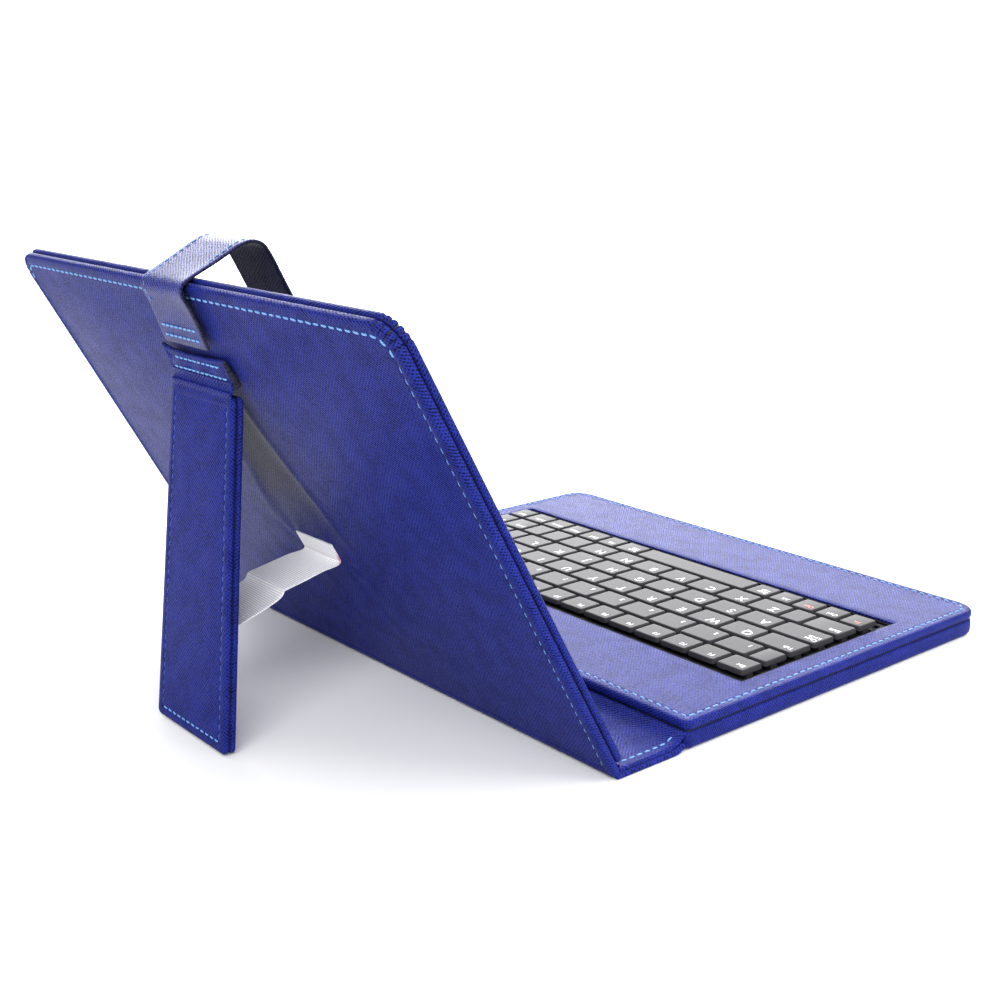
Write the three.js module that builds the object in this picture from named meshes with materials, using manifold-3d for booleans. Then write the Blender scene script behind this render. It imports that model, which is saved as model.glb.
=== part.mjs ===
// A folding keyboard case for a 10-inch tablet, standing open as an easel.
// Millimetres, +Z up. The origin is the middle of the keyboard base's underside,
// +Y points to the tablet panel and +X to the typist's right.
import * as THREE from "three";
import { mergeVertices } from "three/addons/utils/BufferGeometryUtils.js";
import Module from "manifold-3d";

const wasm = await Module();
wasm.setup();

// Driving dimensions.
const caseWidth = 270;
const cornerRadius = 11; // at the free edges
const hingeRadius = 3; // at the corners beside the spine
const gap = 0.35; // room between pieces that touch
const skin = 1; // leather thickness
const wall = 1.2; // leather turned over a board's edge

const base = { depth: 196, coverHeight: 7.4, boardThickness: 2.3 };
const deck = { bottom: 4.6, edge: 8, top: 12 }; // its leather is turned down to edge
const tray = { left: -121, right: 123, back: 51.5, front: -50, bottom: 4.6, top: 11, floor: 0.9, wall: 1.2 };
const gland = { x: 60, width: 9, bottom: 8.2, top: 10.6, length: 7 }; // the charging lead's outlet
const controller = { left: 40, right: 80, front: 62, back: 78, bottom: 6.4, top: 7.6 };

const keys = {
  left: -117,
  right: 121,
  back: 46.4,
  gap: 1.2,
  rowGap: 1.4,
  bottom: 11.3,
  thickness: 2,
  inset: 0.7, // how much narrower a cap's top is on each side
  stemBottom: 8.3,
  stemWidth: 4,
};

const spine = { start: 102.2, end: 129, foldEnd: 132.4, hingeY: 101.5, coverHeight: 0.9, top: 3.5 };

const panel = {
  footY: 134.5, // where its outer face meets the table
  lean: 61, // degrees from the table
  length: 199.2,
  coverHeight: 3.4,
  frontStart: 4.2,
  frontBottom: 3.8,
  frontTop: 6.6,
};
const crown = { height: 3, centre: 150, spread: 60 }; // padding under the outer leather

const strap = { width: 32, thickness: 1.4, front: 34.3, top: 200.3, tipEnd: 150 };
const magnet = { radius: 6.2, height: 160 }; // height is up the panel, on the strap's tip

const stand = {
  foldY: 219.4, // crease of the outer leather
  foldZ: 135.2,
  lean: 95.87, // degrees, the way from its foot to its fold
  topWidth: 46,
  footWidth: 54,
  length: 135.3,
  start: 0.6,
  thickness: 5,
};
const tab = { bottom: 160.3, top: 171.5, inner: 3.2, thickness: 3.6 };
const ribbon = { width: 26, thickness: 0.8 };
const clips = { x: 85, width: 22, reach: 15.5, lip: 1.4, lower: 9, upper: 183 };
const track = { start: 146, end: 195, top: 9.7 }; // what the upper clips slide in

const blueLeather = { color: 0x3b3f9c, roughness: 0.55, metalness: 0 };
const darkLeather = { color: 0x24264f, roughness: 0.6, metalness: 0 };
const greyBoard = { color: 0x8c8678, roughness: 0.9, metalness: 0 };
const blackPlastic = { color: 0x141416, roughness: 0.5, metalness: 0 };
const greyPlastic = { color: 0x5a5b60, roughness: 0.6, metalness: 0 };
const clearFilm = { color: 0xb9c2b4, roughness: 0.4, metalness: 0 };
const siliconeSheet = { color: 0xd8d8d4, roughness: 0.7, metalness: 0 };
const circuitGreen = { color: 0x1f5a36, roughness: 0.5, metalness: 0 };
const whiteRibbon = { color: 0xcfd0da, roughness: 0.9, metalness: 0 };
const steel = { color: 0xa8abb0, roughness: 0.35, metalness: 1 };

// ---- solids ----

function toSolid(geometry) {
  const bare = geometry.clone();
  bare.deleteAttribute("normal");
  bare.deleteAttribute("uv");
  const merged = mergeVertices(bare, 1e-4);
  const vertProperties = merged.attributes.position.array;
  const triVerts = new Uint32Array(merged.index.array);
  return new wasm.Manifold(new wasm.Mesh({ numProp: 3, vertProperties, triVerts }));
}

function toGeometry(solid) {
  const mesh = solid.getMesh();
  const geometry = new THREE.BufferGeometry();
  geometry.setAttribute("position", new THREE.BufferAttribute(mesh.vertProperties, 3));
  geometry.setIndex(new THREE.BufferAttribute(mesh.triVerts, 1));
  return geometry;
}

function cut(body, ...tools) {
  return toGeometry(tools.reduce((left, tool) => left.subtract(toSolid(tool)), toSolid(body)));
}

function join(...pieces) {
  const solids = pieces.map(toSolid);
  return toGeometry(solids.reduce((whole, next) => whole.add(next)));
}

// A box between two corners.
function block(x0, x1, y0, y1, z0, z1) {
  const geometry = new THREE.BoxGeometry(x1 - x0, y1 - y0, z1 - z0);
  return geometry.translate((x0 + x1) / 2, (y0 + y1) / 2, (z0 + z1) / 2);
}

function pair(radius) {
  return Array.isArray(radius) ? radius : [radius, radius];
}

// A corner that runs inside another, at a distance.
function insideRadius(radius, distance) {
  return pair(radius).map((size) => Math.max(size - distance, 0.6));
}

function extrude(shape, z0, z1) {
  const options = { depth: z1 - z0, bevelEnabled: false, curveSegments: 4 };
  return new THREE.ExtrudeGeometry(shape, options).translate(0, 0, z0);
}

// A four-sided plate with round corners. The width may differ at its two ends, and so may the
// corners when radius is a pair.
function plate(widthAtY0, widthAtY1, y0, y1, radius, z0, z1) {
  const [radiusAtY0, radiusAtY1] = pair(radius);
  const corners = [
    new THREE.Vector2(-widthAtY0 / 2, y0),
    new THREE.Vector2(widthAtY0 / 2, y0),
    new THREE.Vector2(widthAtY1 / 2, y1),
    new THREE.Vector2(-widthAtY1 / 2, y1),
  ];
  const shape = new THREE.Shape();
  corners.forEach((corner, i) => {
    const cornerSize = i < 2 ? radiusAtY0 : radiusAtY1;
    const before = corners[(i + 3) % 4].clone().sub(corner).setLength(cornerSize).add(corner);
    const after = corners[(i + 1) % 4].clone().sub(corner).setLength(cornerSize).add(corner);
    if (i === 0) shape.moveTo(before.x, before.y);
    else shape.lineTo(before.x, before.y);
    shape.quadraticCurveTo(corner.x, corner.y, after.x, after.y);
  });
  shape.closePath();
  return extrude(shape, z0, z1);
}

// A sheet of leather over a board: a skin with its edge turned along the board's sides.
// The turned edge points to +Z, or to -Z when z1 is below z0.
function turnedSkin(widthAtY0, widthAtY1, y0, y1, radius, z0, z1) {
  const up = Math.sign(z1 - z0);
  const outer = plate(widthAtY0, widthAtY1, y0, y1, radius, Math.min(z0, z1), Math.max(z0, z1));
  const hollow = [z0 + up * skin, z1 + up];
  const inner = plate(
    widthAtY0 - 2 * wall,
    widthAtY1 - 2 * wall,
    y0 + wall,
    y1 - wall,
    insideRadius(radius, wall),
    Math.min(...hollow),
    Math.max(...hollow),
  );
  return cut(outer, inner);
}

// The board inside a turned skin.
function innerBoard(widthAtY0, widthAtY1, y0, y1, radius, z0, z1) {
  const inset = wall + gap;
  const r = insideRadius(radius, inset);
  return plate(widthAtY0 - 2 * inset, widthAtY1 - 2 * inset, y0 + inset, y1 - inset, r, z0, z1);
}

// A closed slab with a flat underside at z = 0 and its top at heightAt(u, v), both from -1 to 1.
function slab(width, length, columns, rows, heightAt) {
  const positions = [];
  for (const isTop of [0, 1])
    for (let j = 0; j <= rows; j++)
      for (let i = 0; i <= columns; i++) {
        const u = (2 * i) / columns - 1;
        const v = (2 * j) / rows - 1;
        positions.push((u * width) / 2, (v * length) / 2, isTop * heightAt(u, v));
      }
  const layer = (columns + 1) * (rows + 1);
  const at = (i, j, isTop) => isTop * layer + j * (columns + 1) + i;
  const faces = [];
  const quad = (a, b, c, d) => faces.push(a, b, c, a, c, d);
  for (let j = 0; j < rows; j++)
    for (let i = 0; i < columns; i++) {
      quad(at(i, j, 1), at(i + 1, j, 1), at(i + 1, j + 1, 1), at(i, j + 1, 1));
      quad(at(i, j, 0), at(i, j + 1, 0), at(i + 1, j + 1, 0), at(i + 1, j, 0));
    }
  for (let i = 0; i < columns; i++) {
    quad(at(i, 0, 0), at(i + 1, 0, 0), at(i + 1, 0, 1), at(i, 0, 1));
    quad(at(i + 1, rows, 0), at(i, rows, 0), at(i, rows, 1), at(i + 1, rows, 1));
  }
  for (let j = 0; j < rows; j++) {
    quad(at(0, j + 1, 0), at(0, j, 0), at(0, j, 1), at(0, j + 1, 1));
    quad(at(columns, j, 0), at(columns, j + 1, 0), at(columns, j + 1, 1), at(columns, j, 1));
  }
  const geometry = new THREE.BufferGeometry();
  geometry.setAttribute("position", new THREE.Float32BufferAttribute(positions, 3));
  geometry.setIndex(faces);
  return geometry;
}

// Turns a shape drawn in the X-Y plane into the Y-Z plane, so that it is extruded along X.
const alongX = new THREE.Matrix4().makeBasis(
  new THREE.Vector3(0, 1, 0),
  new THREE.Vector3(0, 0, 1),
  new THREE.Vector3(1, 0, 0),
);

// A band of even thickness that follows points in the Y-Z plane and runs width along X.
function band(points, thickness, width) {
  const side = (sign) =>
    points.map((point, i) => {
      const before = points[Math.max(i - 1, 0)];
      const after = points[Math.min(i + 1, points.length - 1)];
      const along = after.clone().sub(before).normalize();
      return new THREE.Vector2(-along.y, along.x).multiplyScalar((sign * thickness) / 2).add(point);
    });
  const outline = new THREE.Shape([...side(-1), ...side(1).reverse()]);
  return extrude(outline, -width / 2, width / 2).applyMatrix4(alongX);
}

function points(...pairs) {
  return pairs.map(([y, z]) => new THREE.Vector2(y, z));
}

function disc(radius, x, y, z0, z1) {
  const cylinder = new THREE.CylinderGeometry(radius, radius, z1 - z0, 16);
  return cylinder.rotateX(Math.PI / 2).translate(x, y, (z0 + z1) / 2);
}

function named(name, geometry, finish) {
  const mesh = new THREE.Mesh(geometry, new THREE.MeshStandardMaterial(finish));
  mesh.name = name;
  return mesh;
}

// ---- keyboard base: two leather-covered boards with the keyboard let into the upper one ----

const halfDepth = base.depth / 2;
const trayOpening = (grow, z0, z1) =>
  block(tray.left - grow, tray.right + grow, tray.front - grow, tray.back + grow, z0, z1);

function keyboardBase() {
  const outline = [caseWidth, caseWidth, -halfDepth, halfDepth, [cornerRadius, hingeRadius]];
  const boardBottom = skin + gap;
  const boardTop = boardBottom + base.boardThickness;
  const magnetY = spine.hingeY - magnet.height; // under the strap's tip when the case is shut
  const pocket = disc(magnet.radius + gap, 0, magnetY, boardBottom - 1, boardTop + 1);
  const boardHeight = [deck.bottom + gap, deck.top - skin - gap];
  const glandHole = block(
    gland.x - gland.width / 2 - gap,
    gland.x + gland.width / 2 + gap,
    halfDepth - gland.length - gap,
    halfDepth + 1,
    gland.bottom - gap,
    gland.top + gap,
  );
  const controllerPocket = block(
    controller.left - 1,
    controller.right + 1,
    tray.back,
    controller.back + 1,
    deck.bottom,
    controller.top + 1.4,
  );
  const group = new THREE.Group();
  group.add(
    named("base_cover", turnedSkin(...outline, 0, base.coverHeight), blueLeather),
    named("base_board", cut(innerBoard(...outline, boardBottom, boardTop), pocket), greyBoard),
    named("base_magnet", disc(magnet.radius, 0, magnetY, boardBottom, boardTop - gap), steel),
    named(
      "deck_board",
      cut(innerBoard(...outline, ...boardHeight), trayOpening(gap, 0, 20), glandHole, controllerPocket),
      greyBoard,
    ),
    named(
      "deck_cover",
      cut(turnedSkin(...outline, deck.top, deck.edge), trayOpening(gap, 0, 20), glandHole),
      blueLeather,
    ),
    named(
      "controller_board",
      block(
        controller.left,
        controller.right,
        controller.front,
        controller.back,
        controller.bottom,
        controller.top,
      ),
      circuitGreen,
    ),
    named(
      "cable_gland",
      block(
        gland.x - gland.width / 2,
        gland.x + gland.width / 2,
        halfDepth - gland.length,
        halfDepth - gap,
        gland.bottom,
        gland.top,
      ),
      blackPlastic,
    ),
  );
  return group;
}

// ---- the keyboard's own parts ----

// Each row's keys from left to right, as widths in letter keys, and the bodies they press as.
const keyRows = [
  { depth: 13.1, parts: [["escape_key", [1]], ["function_keys", Array(14).fill(1)]] },
  {
    depth: 14.4,
    parts: [["number_keys", [0.6, ...Array(10).fill(1), 0.55, 0.55]], ["backspace_key", [0.69]]],
  },
  { depth: 14.4, parts: [["tab_key", [1.17]], ["upper_letter_keys", [...Array(10).fill(1), 0.6, 0.62]]] },
  {
    depth: 14.4,
    parts: [
      ["caps_lock_key", [1.36]],
      ["home_letter_keys", [...Array(9).fill(1), 0.62, 0.55]],
      ["enter_key", [0.86]],
    ],
  },
  {
    depth: 14.4,
    parts: [
      ["left_shift_key", [1.1]],
      ["lower_letter_keys", [0.68, ...Array(7).fill(0.98), 0.8, 0.74, 0.72]],
      ["up_arrow_key", [0.85]],
      ["right_shift_key", [0.67]],
    ],
  },
  {
    depth: 13.1,
    parts: [
      ["left_modifier_keys", [0.69, 0.69, 0.69, 0.69, 0.72]],
      ["space_key", [3.7]],
      ["right_modifier_keys", [0.83, 0.67, 0.76, 0.7]],
      ["left_arrow_key", [0.75]],
      ["down_arrow_key", [0.78]],
      ["right_arrow_key", [0.65]],
    ],
  },
];

// A cap that narrows towards its top.
function keyCap(x0, x1, y0, y1) {
  const cap = mergeVertices(stripped(block(x0, x1, y0, y1, keys.bottom, keys.bottom + keys.thickness)));
  const position = cap.attributes.position;
  for (let i = 0; i < position.count; i++) {
    if (position.getZ(i) < keys.bottom + keys.thickness / 2) continue;
    const towardX = position.getX(i) < (x0 + x1) / 2 ? 1 : -1;
    const towardY = position.getY(i) < (y0 + y1) / 2 ? 1 : -1;
    position.setX(i, position.getX(i) + towardX * keys.inset);
    position.setY(i, position.getY(i) + towardY * keys.inset);
  }
  return cap;
}

function stripped(geometry) {
  geometry.deleteAttribute("normal");
  geometry.deleteAttribute("uv");
  return geometry;
}

// Keys that share a body stand on one stem bar, which runs in the row's slot of the key plate.
function keyRow(row, back) {
  const units = row.parts.flatMap(([, widths]) => widths).reduce((sum, width) => sum + width, 0);
  const unit = (keys.right - keys.left + keys.gap) / units;
  const front = back - row.depth;
  const middle = (back + front) / 2;
  let x = keys.left;
  return row.parts.map(([name, widths]) => {
    const start = x;
    const caps = widths.map((width) => {
      const cap = keyCap(x, x + width * unit - keys.gap, front, back);
      x += width * unit;
      return cap;
    });
    const end = x - keys.gap;
    const stem = block(
      start + 1.5,
      end - 1.5,
      middle - keys.stemWidth / 2,
      middle + keys.stemWidth / 2,
      keys.stemBottom,
      keys.bottom + 0.5,
    );
    return named(name, join(stem, ...caps), greyPlastic);
  });
}

function keyboard() {
  const group = new THREE.Group();
  const slots = [];
  let back = keys.back;
  for (const row of keyRows) {
    const middle = back - row.depth / 2;
    const half = keys.stemWidth / 2 + 1;
    slots.push(block(keys.left - 1, keys.right + 1, middle - half, middle + half, 0, 20));
    group.add(...keyRow(row, back));
    back -= row.depth + keys.rowGap;
  }
  const inside = -tray.wall - gap;
  const sheet = (z0, z1) => trayOpening(inside, z0, z1);
  const shell = cut(
    trayOpening(0, tray.bottom, tray.top),
    trayOpening(-tray.wall, tray.bottom + tray.floor, 20),
  );
  const apertureGap = 1;
  const aperture = block(
    keys.left - apertureGap,
    keys.right + apertureGap,
    back + keys.rowGap - apertureGap,
    keys.back + apertureGap,
    0,
    20,
  );
  group.add(
    named("keyboard_case", shell, blackPlastic),
    named("key_membrane", sheet(5.8, 6.1), clearFilm),
    named("dome_sheet", sheet(6.4, 6.7), siliconeSheet),
    named("key_plate", cut(sheet(8.5, 9.3), ...slots), blackPlastic),
    named("key_bezel", cut(sheet(9.6, 10.4), aperture), blackPlastic),
  );
  return group;
}

// ---- spine: a narrow board between two leather hinges ----

function spineStrip() {
  const half = caseWidth / 2;
  const strip = (inset, y0, y1, z0, z1) => block(-half + inset, half - inset, y0, y1, z0, z1);
  const coverTop = spine.coverHeight;
  const liningBottom = spine.top - 0.8;
  const group = new THREE.Group();
  group.add(
    named("keyboard_fold", strip(1, halfDepth + gap, spine.start - gap, 0.3, 1.2), blueLeather),
    named("spine_cover", strip(0, spine.start, spine.end, 0, coverTop), blueLeather),
    named("spine_board", strip(2, spine.start + 1, spine.end - 1, coverTop + gap, 2.4), greyBoard),
    named("spine_lining", strip(0.5, spine.start, spine.end, liningBottom, spine.top), blueLeather),
    named("cover_fold", strip(1, spine.end + gap, spine.foldEnd, 0.3, 0.9), blueLeather),
  );
  return group;
}

// ---- tablet panel, in its own leaning frame: Y up the panel, Z towards the typist ----

// How far the padding lifts the outer leather at a height up the panel, on its centre line.
function crownAt(height) {
  const up = (2 * height) / panel.length - 1;
  const swell = Math.exp(-(((height - crown.centre) / crown.spread) ** 2));
  return crown.height * swell * (1 - up ** 8);
}

function backCover() {
  const inset = 5;
  const buried = 0.5; // depth of the slab's flat side inside the skin
  const edgeLift = 0.3; // its top at the rim, which stays inside the skin too
  const length = panel.length - 2 * inset;
  // The slab is turned over about X, so its own v runs down the panel.
  const padding = slab(caseWidth - 2 * inset, length, 12, 16, (u, v) => {
    const height = panel.length / 2 - (v * length) / 2;
    const fade = (1 - u ** 4) * (1 - v ** 8);
    return edgeLift + (crownAt(height) + buried - edgeLift) * fade;
  });
  padding.rotateX(Math.PI).translate(0, panel.length / 2, buried);
  const outline = [caseWidth, caseWidth, 0, panel.length, [hingeRadius, cornerRadius]];
  return join(turnedSkin(...outline, 0, panel.coverHeight), padding);
}

// A hook along X whose lip holds the tablet's edge. facing is 1 when it opens up the panel.
function clip(x, y, facing, foot, footThickness) {
  const outline = [
    [0, foot],
    [14, foot],
    [14, foot + footThickness],
    [2, foot + footThickness],
    [2, clips.reach - clips.lip],
    [6, clips.reach - clips.lip],
    [6, clips.reach],
    [0, clips.reach],
  ];
  const turned = outline.map(([along, up]) => [y + facing * along, up]);
  const shape = new THREE.Shape(points(...(facing > 0 ? turned : turned.reverse())));
  const geometry = extrude(shape, -clips.width / 2, clips.width / 2).applyMatrix4(alongX);
  return geometry.translate(x, 0, 0);
}

function clipTrack(x) {
  const floorBottom = panel.frontTop + 0.3;
  const half = clips.width / 2 + 3;
  const whole = block(x - half, x + half, track.start, track.end, floorBottom, track.top);
  const channel = block(x - half + 2, x + half - 2, track.start + 2, track.end + 1, floorBottom + 1, 20);
  return cut(whole, channel);
}

function clipSpring(x) {
  const spring = new THREE.CylinderGeometry(0.7, 0.7, 18, 8);
  return spring.translate(x, 158, panel.frontTop + 2.3);
}

function tabletHolder() {
  const group = new THREE.Group();
  for (const [side, x] of [["left", -clips.x], ["right", clips.x]]) {
    group.add(
      named("lower_clip_" + side, clip(x, clips.lower, 1, panel.frontTop + 0.3, 1.2), blackPlastic),
      named("upper_clip_" + side, clip(x, clips.upper, -1, panel.frontTop + 1.65, 1.1), blackPlastic),
      named("clip_track_" + side, clipTrack(x), blackPlastic),
      named("clip_spring_" + side, clipSpring(x), steel),
    );
  }
  return group;
}

function closureStrap() {
  const halfThick = strap.thickness / 2;
  const rootZ = (height) => -crownAt(height) - gap - halfThick;
  const baseLine = points(...[176.5, 182, 188, 193].map((height) => [height, rootZ(height)]));
  const rootLine = points([193.4, -2.1], [197.4, -2.2]);
  const bend = new THREE.Path();
  bend.moveTo(197.8, -2.2);
  bend.quadraticCurveTo(strap.top, -2.4, strap.top, 1.6);
  bend.lineTo(strap.top, 26);
  bend.quadraticCurveTo(strap.top, strap.front, 193.2, strap.front);
  const tipLine = points([192, strap.front], [strap.tipEnd, strap.front]);
  const inner = strap.front - halfThick;
  const pocket = disc(magnet.radius + gap, 0, magnet.height, inner - 1, inner + 0.95);
  const group = new THREE.Group();
  group.add(
    named("strap_base", band(baseLine, strap.thickness, strap.width), blueLeather),
    named("strap_root_fold", band(rootLine, 1.2, strap.width - 1), blueLeather),
    named("strap_arch", band(bend.getPoints(6), strap.thickness, strap.width), blueLeather),
    named(
      "strap_tip_fold",
      band(points([192.9, strap.front], [192.3, strap.front]), 1.2, strap.width - 1),
      blueLeather,
    ),
    named("strap_tip", cut(band(tipLine, strap.thickness, strap.width), pocket), darkLeather),
    named("strap_magnet", disc(magnet.radius, 0, magnet.height, inner, inner + 0.6), steel),
  );
  return group;
}

function tabletPanel() {
  const corners = [hingeRadius, cornerRadius];
  const outline = [caseWidth, caseWidth, 0, panel.length, corners];
  const front = [caseWidth, caseWidth, panel.frontStart, panel.length, corners];
  const tabOuter = -tab.inner - tab.thickness;
  const group = new THREE.Group();
  group.position.y = panel.footY;
  group.rotation.x = THREE.MathUtils.degToRad(panel.lean);
  group.add(
    named("back_cover", backCover(), blueLeather),
    named("back_board", innerBoard(...outline, skin + gap, panel.coverHeight - 0.3), greyBoard),
    named(
      "front_board",
      innerBoard(...front, panel.frontBottom + 0.3, panel.frontTop - skin - gap),
      greyBoard,
    ),
    named("front_cover", turnedSkin(...front, panel.frontTop, panel.frontBottom), blueLeather),
    named(
      "kickstand_tab",
      plate(stand.topWidth, stand.topWidth - 2, tab.bottom, tab.top, 2, tabOuter, -tab.inner),
      blueLeather,
    ),
    tabletHolder(),
    closureStrap(),
  );
  return group;
}

// ---- kickstand, in its own frame: Y from its foot to its fold, Z towards the panel ----

function kickstand() {
  const outline = [stand.footWidth, stand.topWidth, -stand.length, -stand.start, 2];
  const middle = stand.thickness / 2;
  const group = new THREE.Group();
  group.position.set(0, stand.foldY, stand.foldZ);
  group.rotation.x = THREE.MathUtils.degToRad(stand.lean);
  group.add(
    named("kickstand_outer", turnedSkin(...outline, 0, middle - 0.2), blueLeather),
    named("kickstand_board", innerBoard(...outline, skin + gap, stand.thickness - skin - gap), greyBoard),
    named("kickstand_inner", turnedSkin(...outline, stand.thickness, middle + 0.2), blueLeather),
  );
  return group;
}

// The crease of outer leather that joins the tab to the kickstand.
function kickstandFold() {
  const line = points([220.6, 137.1], [219.6, 135.6]);
  return named("kickstand_fold", band(line, 0.8, stand.topWidth - 2), blueLeather);
}

// The ribbon that stops the kickstand: sewn to the panel, once creased, sewn inside the leg.
function tetherRibbon() {
  const line = points(
    [173.4, 67.6],
    [169.6, 60.6],
    [170.6, 59],
    [195, 55.3],
    [197.6, 54.1],
    [221.4, 43.2],
    [222.6, 41],
    [223.6, 31],
  );
  return named("tether_ribbon", band(line, ribbon.thickness, ribbon.width), whiteRibbon);
}

const tabletCase = new THREE.Group();
tabletCase.add(
  keyboardBase(),
  keyboard(),
  spineStrip(),
  tabletPanel(),
  kickstand(),
  kickstandFold(),
  tetherRibbon(),
);

export default tabletCase;
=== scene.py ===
import bpy
import bmesh
import numpy as np
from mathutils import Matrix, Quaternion, Vector


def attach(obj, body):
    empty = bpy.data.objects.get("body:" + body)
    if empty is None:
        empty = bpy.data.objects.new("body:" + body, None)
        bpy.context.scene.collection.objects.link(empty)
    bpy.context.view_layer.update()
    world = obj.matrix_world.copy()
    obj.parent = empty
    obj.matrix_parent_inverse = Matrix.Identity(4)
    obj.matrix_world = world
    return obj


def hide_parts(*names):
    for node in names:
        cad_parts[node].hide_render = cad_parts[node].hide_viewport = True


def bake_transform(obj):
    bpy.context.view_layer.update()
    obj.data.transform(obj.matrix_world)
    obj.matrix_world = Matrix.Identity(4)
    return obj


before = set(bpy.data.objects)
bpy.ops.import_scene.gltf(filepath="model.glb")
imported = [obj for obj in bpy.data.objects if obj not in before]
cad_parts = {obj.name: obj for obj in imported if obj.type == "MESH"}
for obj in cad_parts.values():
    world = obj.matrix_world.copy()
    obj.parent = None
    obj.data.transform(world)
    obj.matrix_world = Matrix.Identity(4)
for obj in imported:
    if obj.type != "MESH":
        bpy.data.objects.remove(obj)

# A folding leather keyboard case for a ten-inch tablet, standing open as an easel.
# Shapes are worked out in millimetres and stored in metres.

mm = 0.001
random = np.random.default_rng(7)
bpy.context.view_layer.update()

view = {
    "place": (-471.01, 469.61, 237.4),
    "azimuth": 230.135,
    "elevation": 15.603,
    "roll": -0.208,
    "lens": 51.842,
}

studio = {
    "sky": 1.03,
    "overhead": 17,
    "overheadSize": 0.8,
    "overheadPlace": (0.7, -0.4, 1.0),
    "backdrop": 118,
    "backdropSize": (3.2, 1.5),
    "backdropPlace": (1.55, -1.3, 0.72),
    "fill": 42,
    "fillSize": (1.6, 1.2),
    "fillPlace": (-1.2, 1.3, 1.25),
    "side": 24,
    "sideSize": (1.2, 1.0),
    "sidePlace": (-1.3, -0.8, 0.9),
    "floorTone": 0.74,
    "floorRadius": 2.1,
    "floorSides": 96,
    "floorDrop": 0.0003,
}


def addCamera():
    azimuth, elevation = np.radians([view["azimuth"], view["elevation"]])
    level = np.cos(elevation)
    back = Vector((np.sin(azimuth) * level, -np.cos(azimuth) * level, np.sin(elevation)))
    data = bpy.data.cameras.new("camera")
    data.lens = view["lens"]
    data.sensor_width = 36
    data.clip_start = 0.01
    data.clip_end = 50
    camera = bpy.data.objects.new("camera", data)
    camera.rotation_mode = "QUATERNION"
    roll = Quaternion((0, 0, 1), np.radians(view["roll"]))
    camera.rotation_quaternion = (-back).to_track_quat("-Z", "Y") @ roll
    camera.location = Vector(view["place"]) * mm
    bpy.context.scene.collection.objects.link(camera)
    bpy.context.scene.camera = camera


addCamera()


def hexColour(code):
    # sRGB hex to linear: each channel through the sRGB curve.
    channel = np.array([int(code[i : i + 2], 16) for i in (1, 3, 5)]) / 255
    linear = np.where(channel <= 0.04045, channel / 12.92, ((channel + 0.055) / 1.055) ** 2.4)
    return (*linear.tolist(), 1.0)


def addNode(tree, kind, inputs=None, **settings):
    # Adds one node with its settings; an input is a value or another node's output.
    made = tree.nodes.new(kind)
    for key, value in settings.items():
        setattr(made, key, value)
    for key, value in (inputs or {}).items():
        if isinstance(value, bpy.types.NodeSocket):
            tree.links.new(value, made.inputs[key])
        else:
            made.inputs[key].default_value = value
    return made


def newMaterial(name):
    material = bpy.data.materials.new(name)
    material.use_nodes = True
    tree = material.node_tree
    return material, tree, tree.nodes["Principled BSDF"]


def mixOf(tree, mix, factor, first, second):
    # Sets a colour mix's factor and two colours; its sockets share names, so they go by number.
    for index, value in ((0, factor), (6, first), (7, second)):
        if isinstance(value, bpy.types.NodeSocket):
            tree.links.new(value, mix.inputs[index])
        else:
            mix.inputs[index].default_value = value


def mixed(mix):
    return mix.outputs[2]


def colourRamp(tree, factor, stops):
    ramp = addNode(tree, "ShaderNodeValToRGB", {"Fac": factor})
    while len(ramp.color_ramp.elements) < len(stops):
        ramp.color_ramp.elements.new(0.5)
    for element, (place, colour) in zip(ramp.color_ramp.elements, stops):
        element.position = place
        element.color = hexColour(colour) if isinstance(colour, str) else (colour, colour, colour, 1)
    return ramp.outputs["Color"]


leather = {
    "ridge": "#1d2674",
    "groove": "#060822",
    # Dark grey mixed in by the mark: painted shade, and the fray of the tab's cut edges.
    "shadeAndFrayGrey": "#2d2d35",
    "lineGap": 1.1,  # mm between pressed lines
    "depth": 0.2,
    "roughness": 0.37,
    "gloss": 0.03,
    "strapGloss": 0.13,
}


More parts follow.
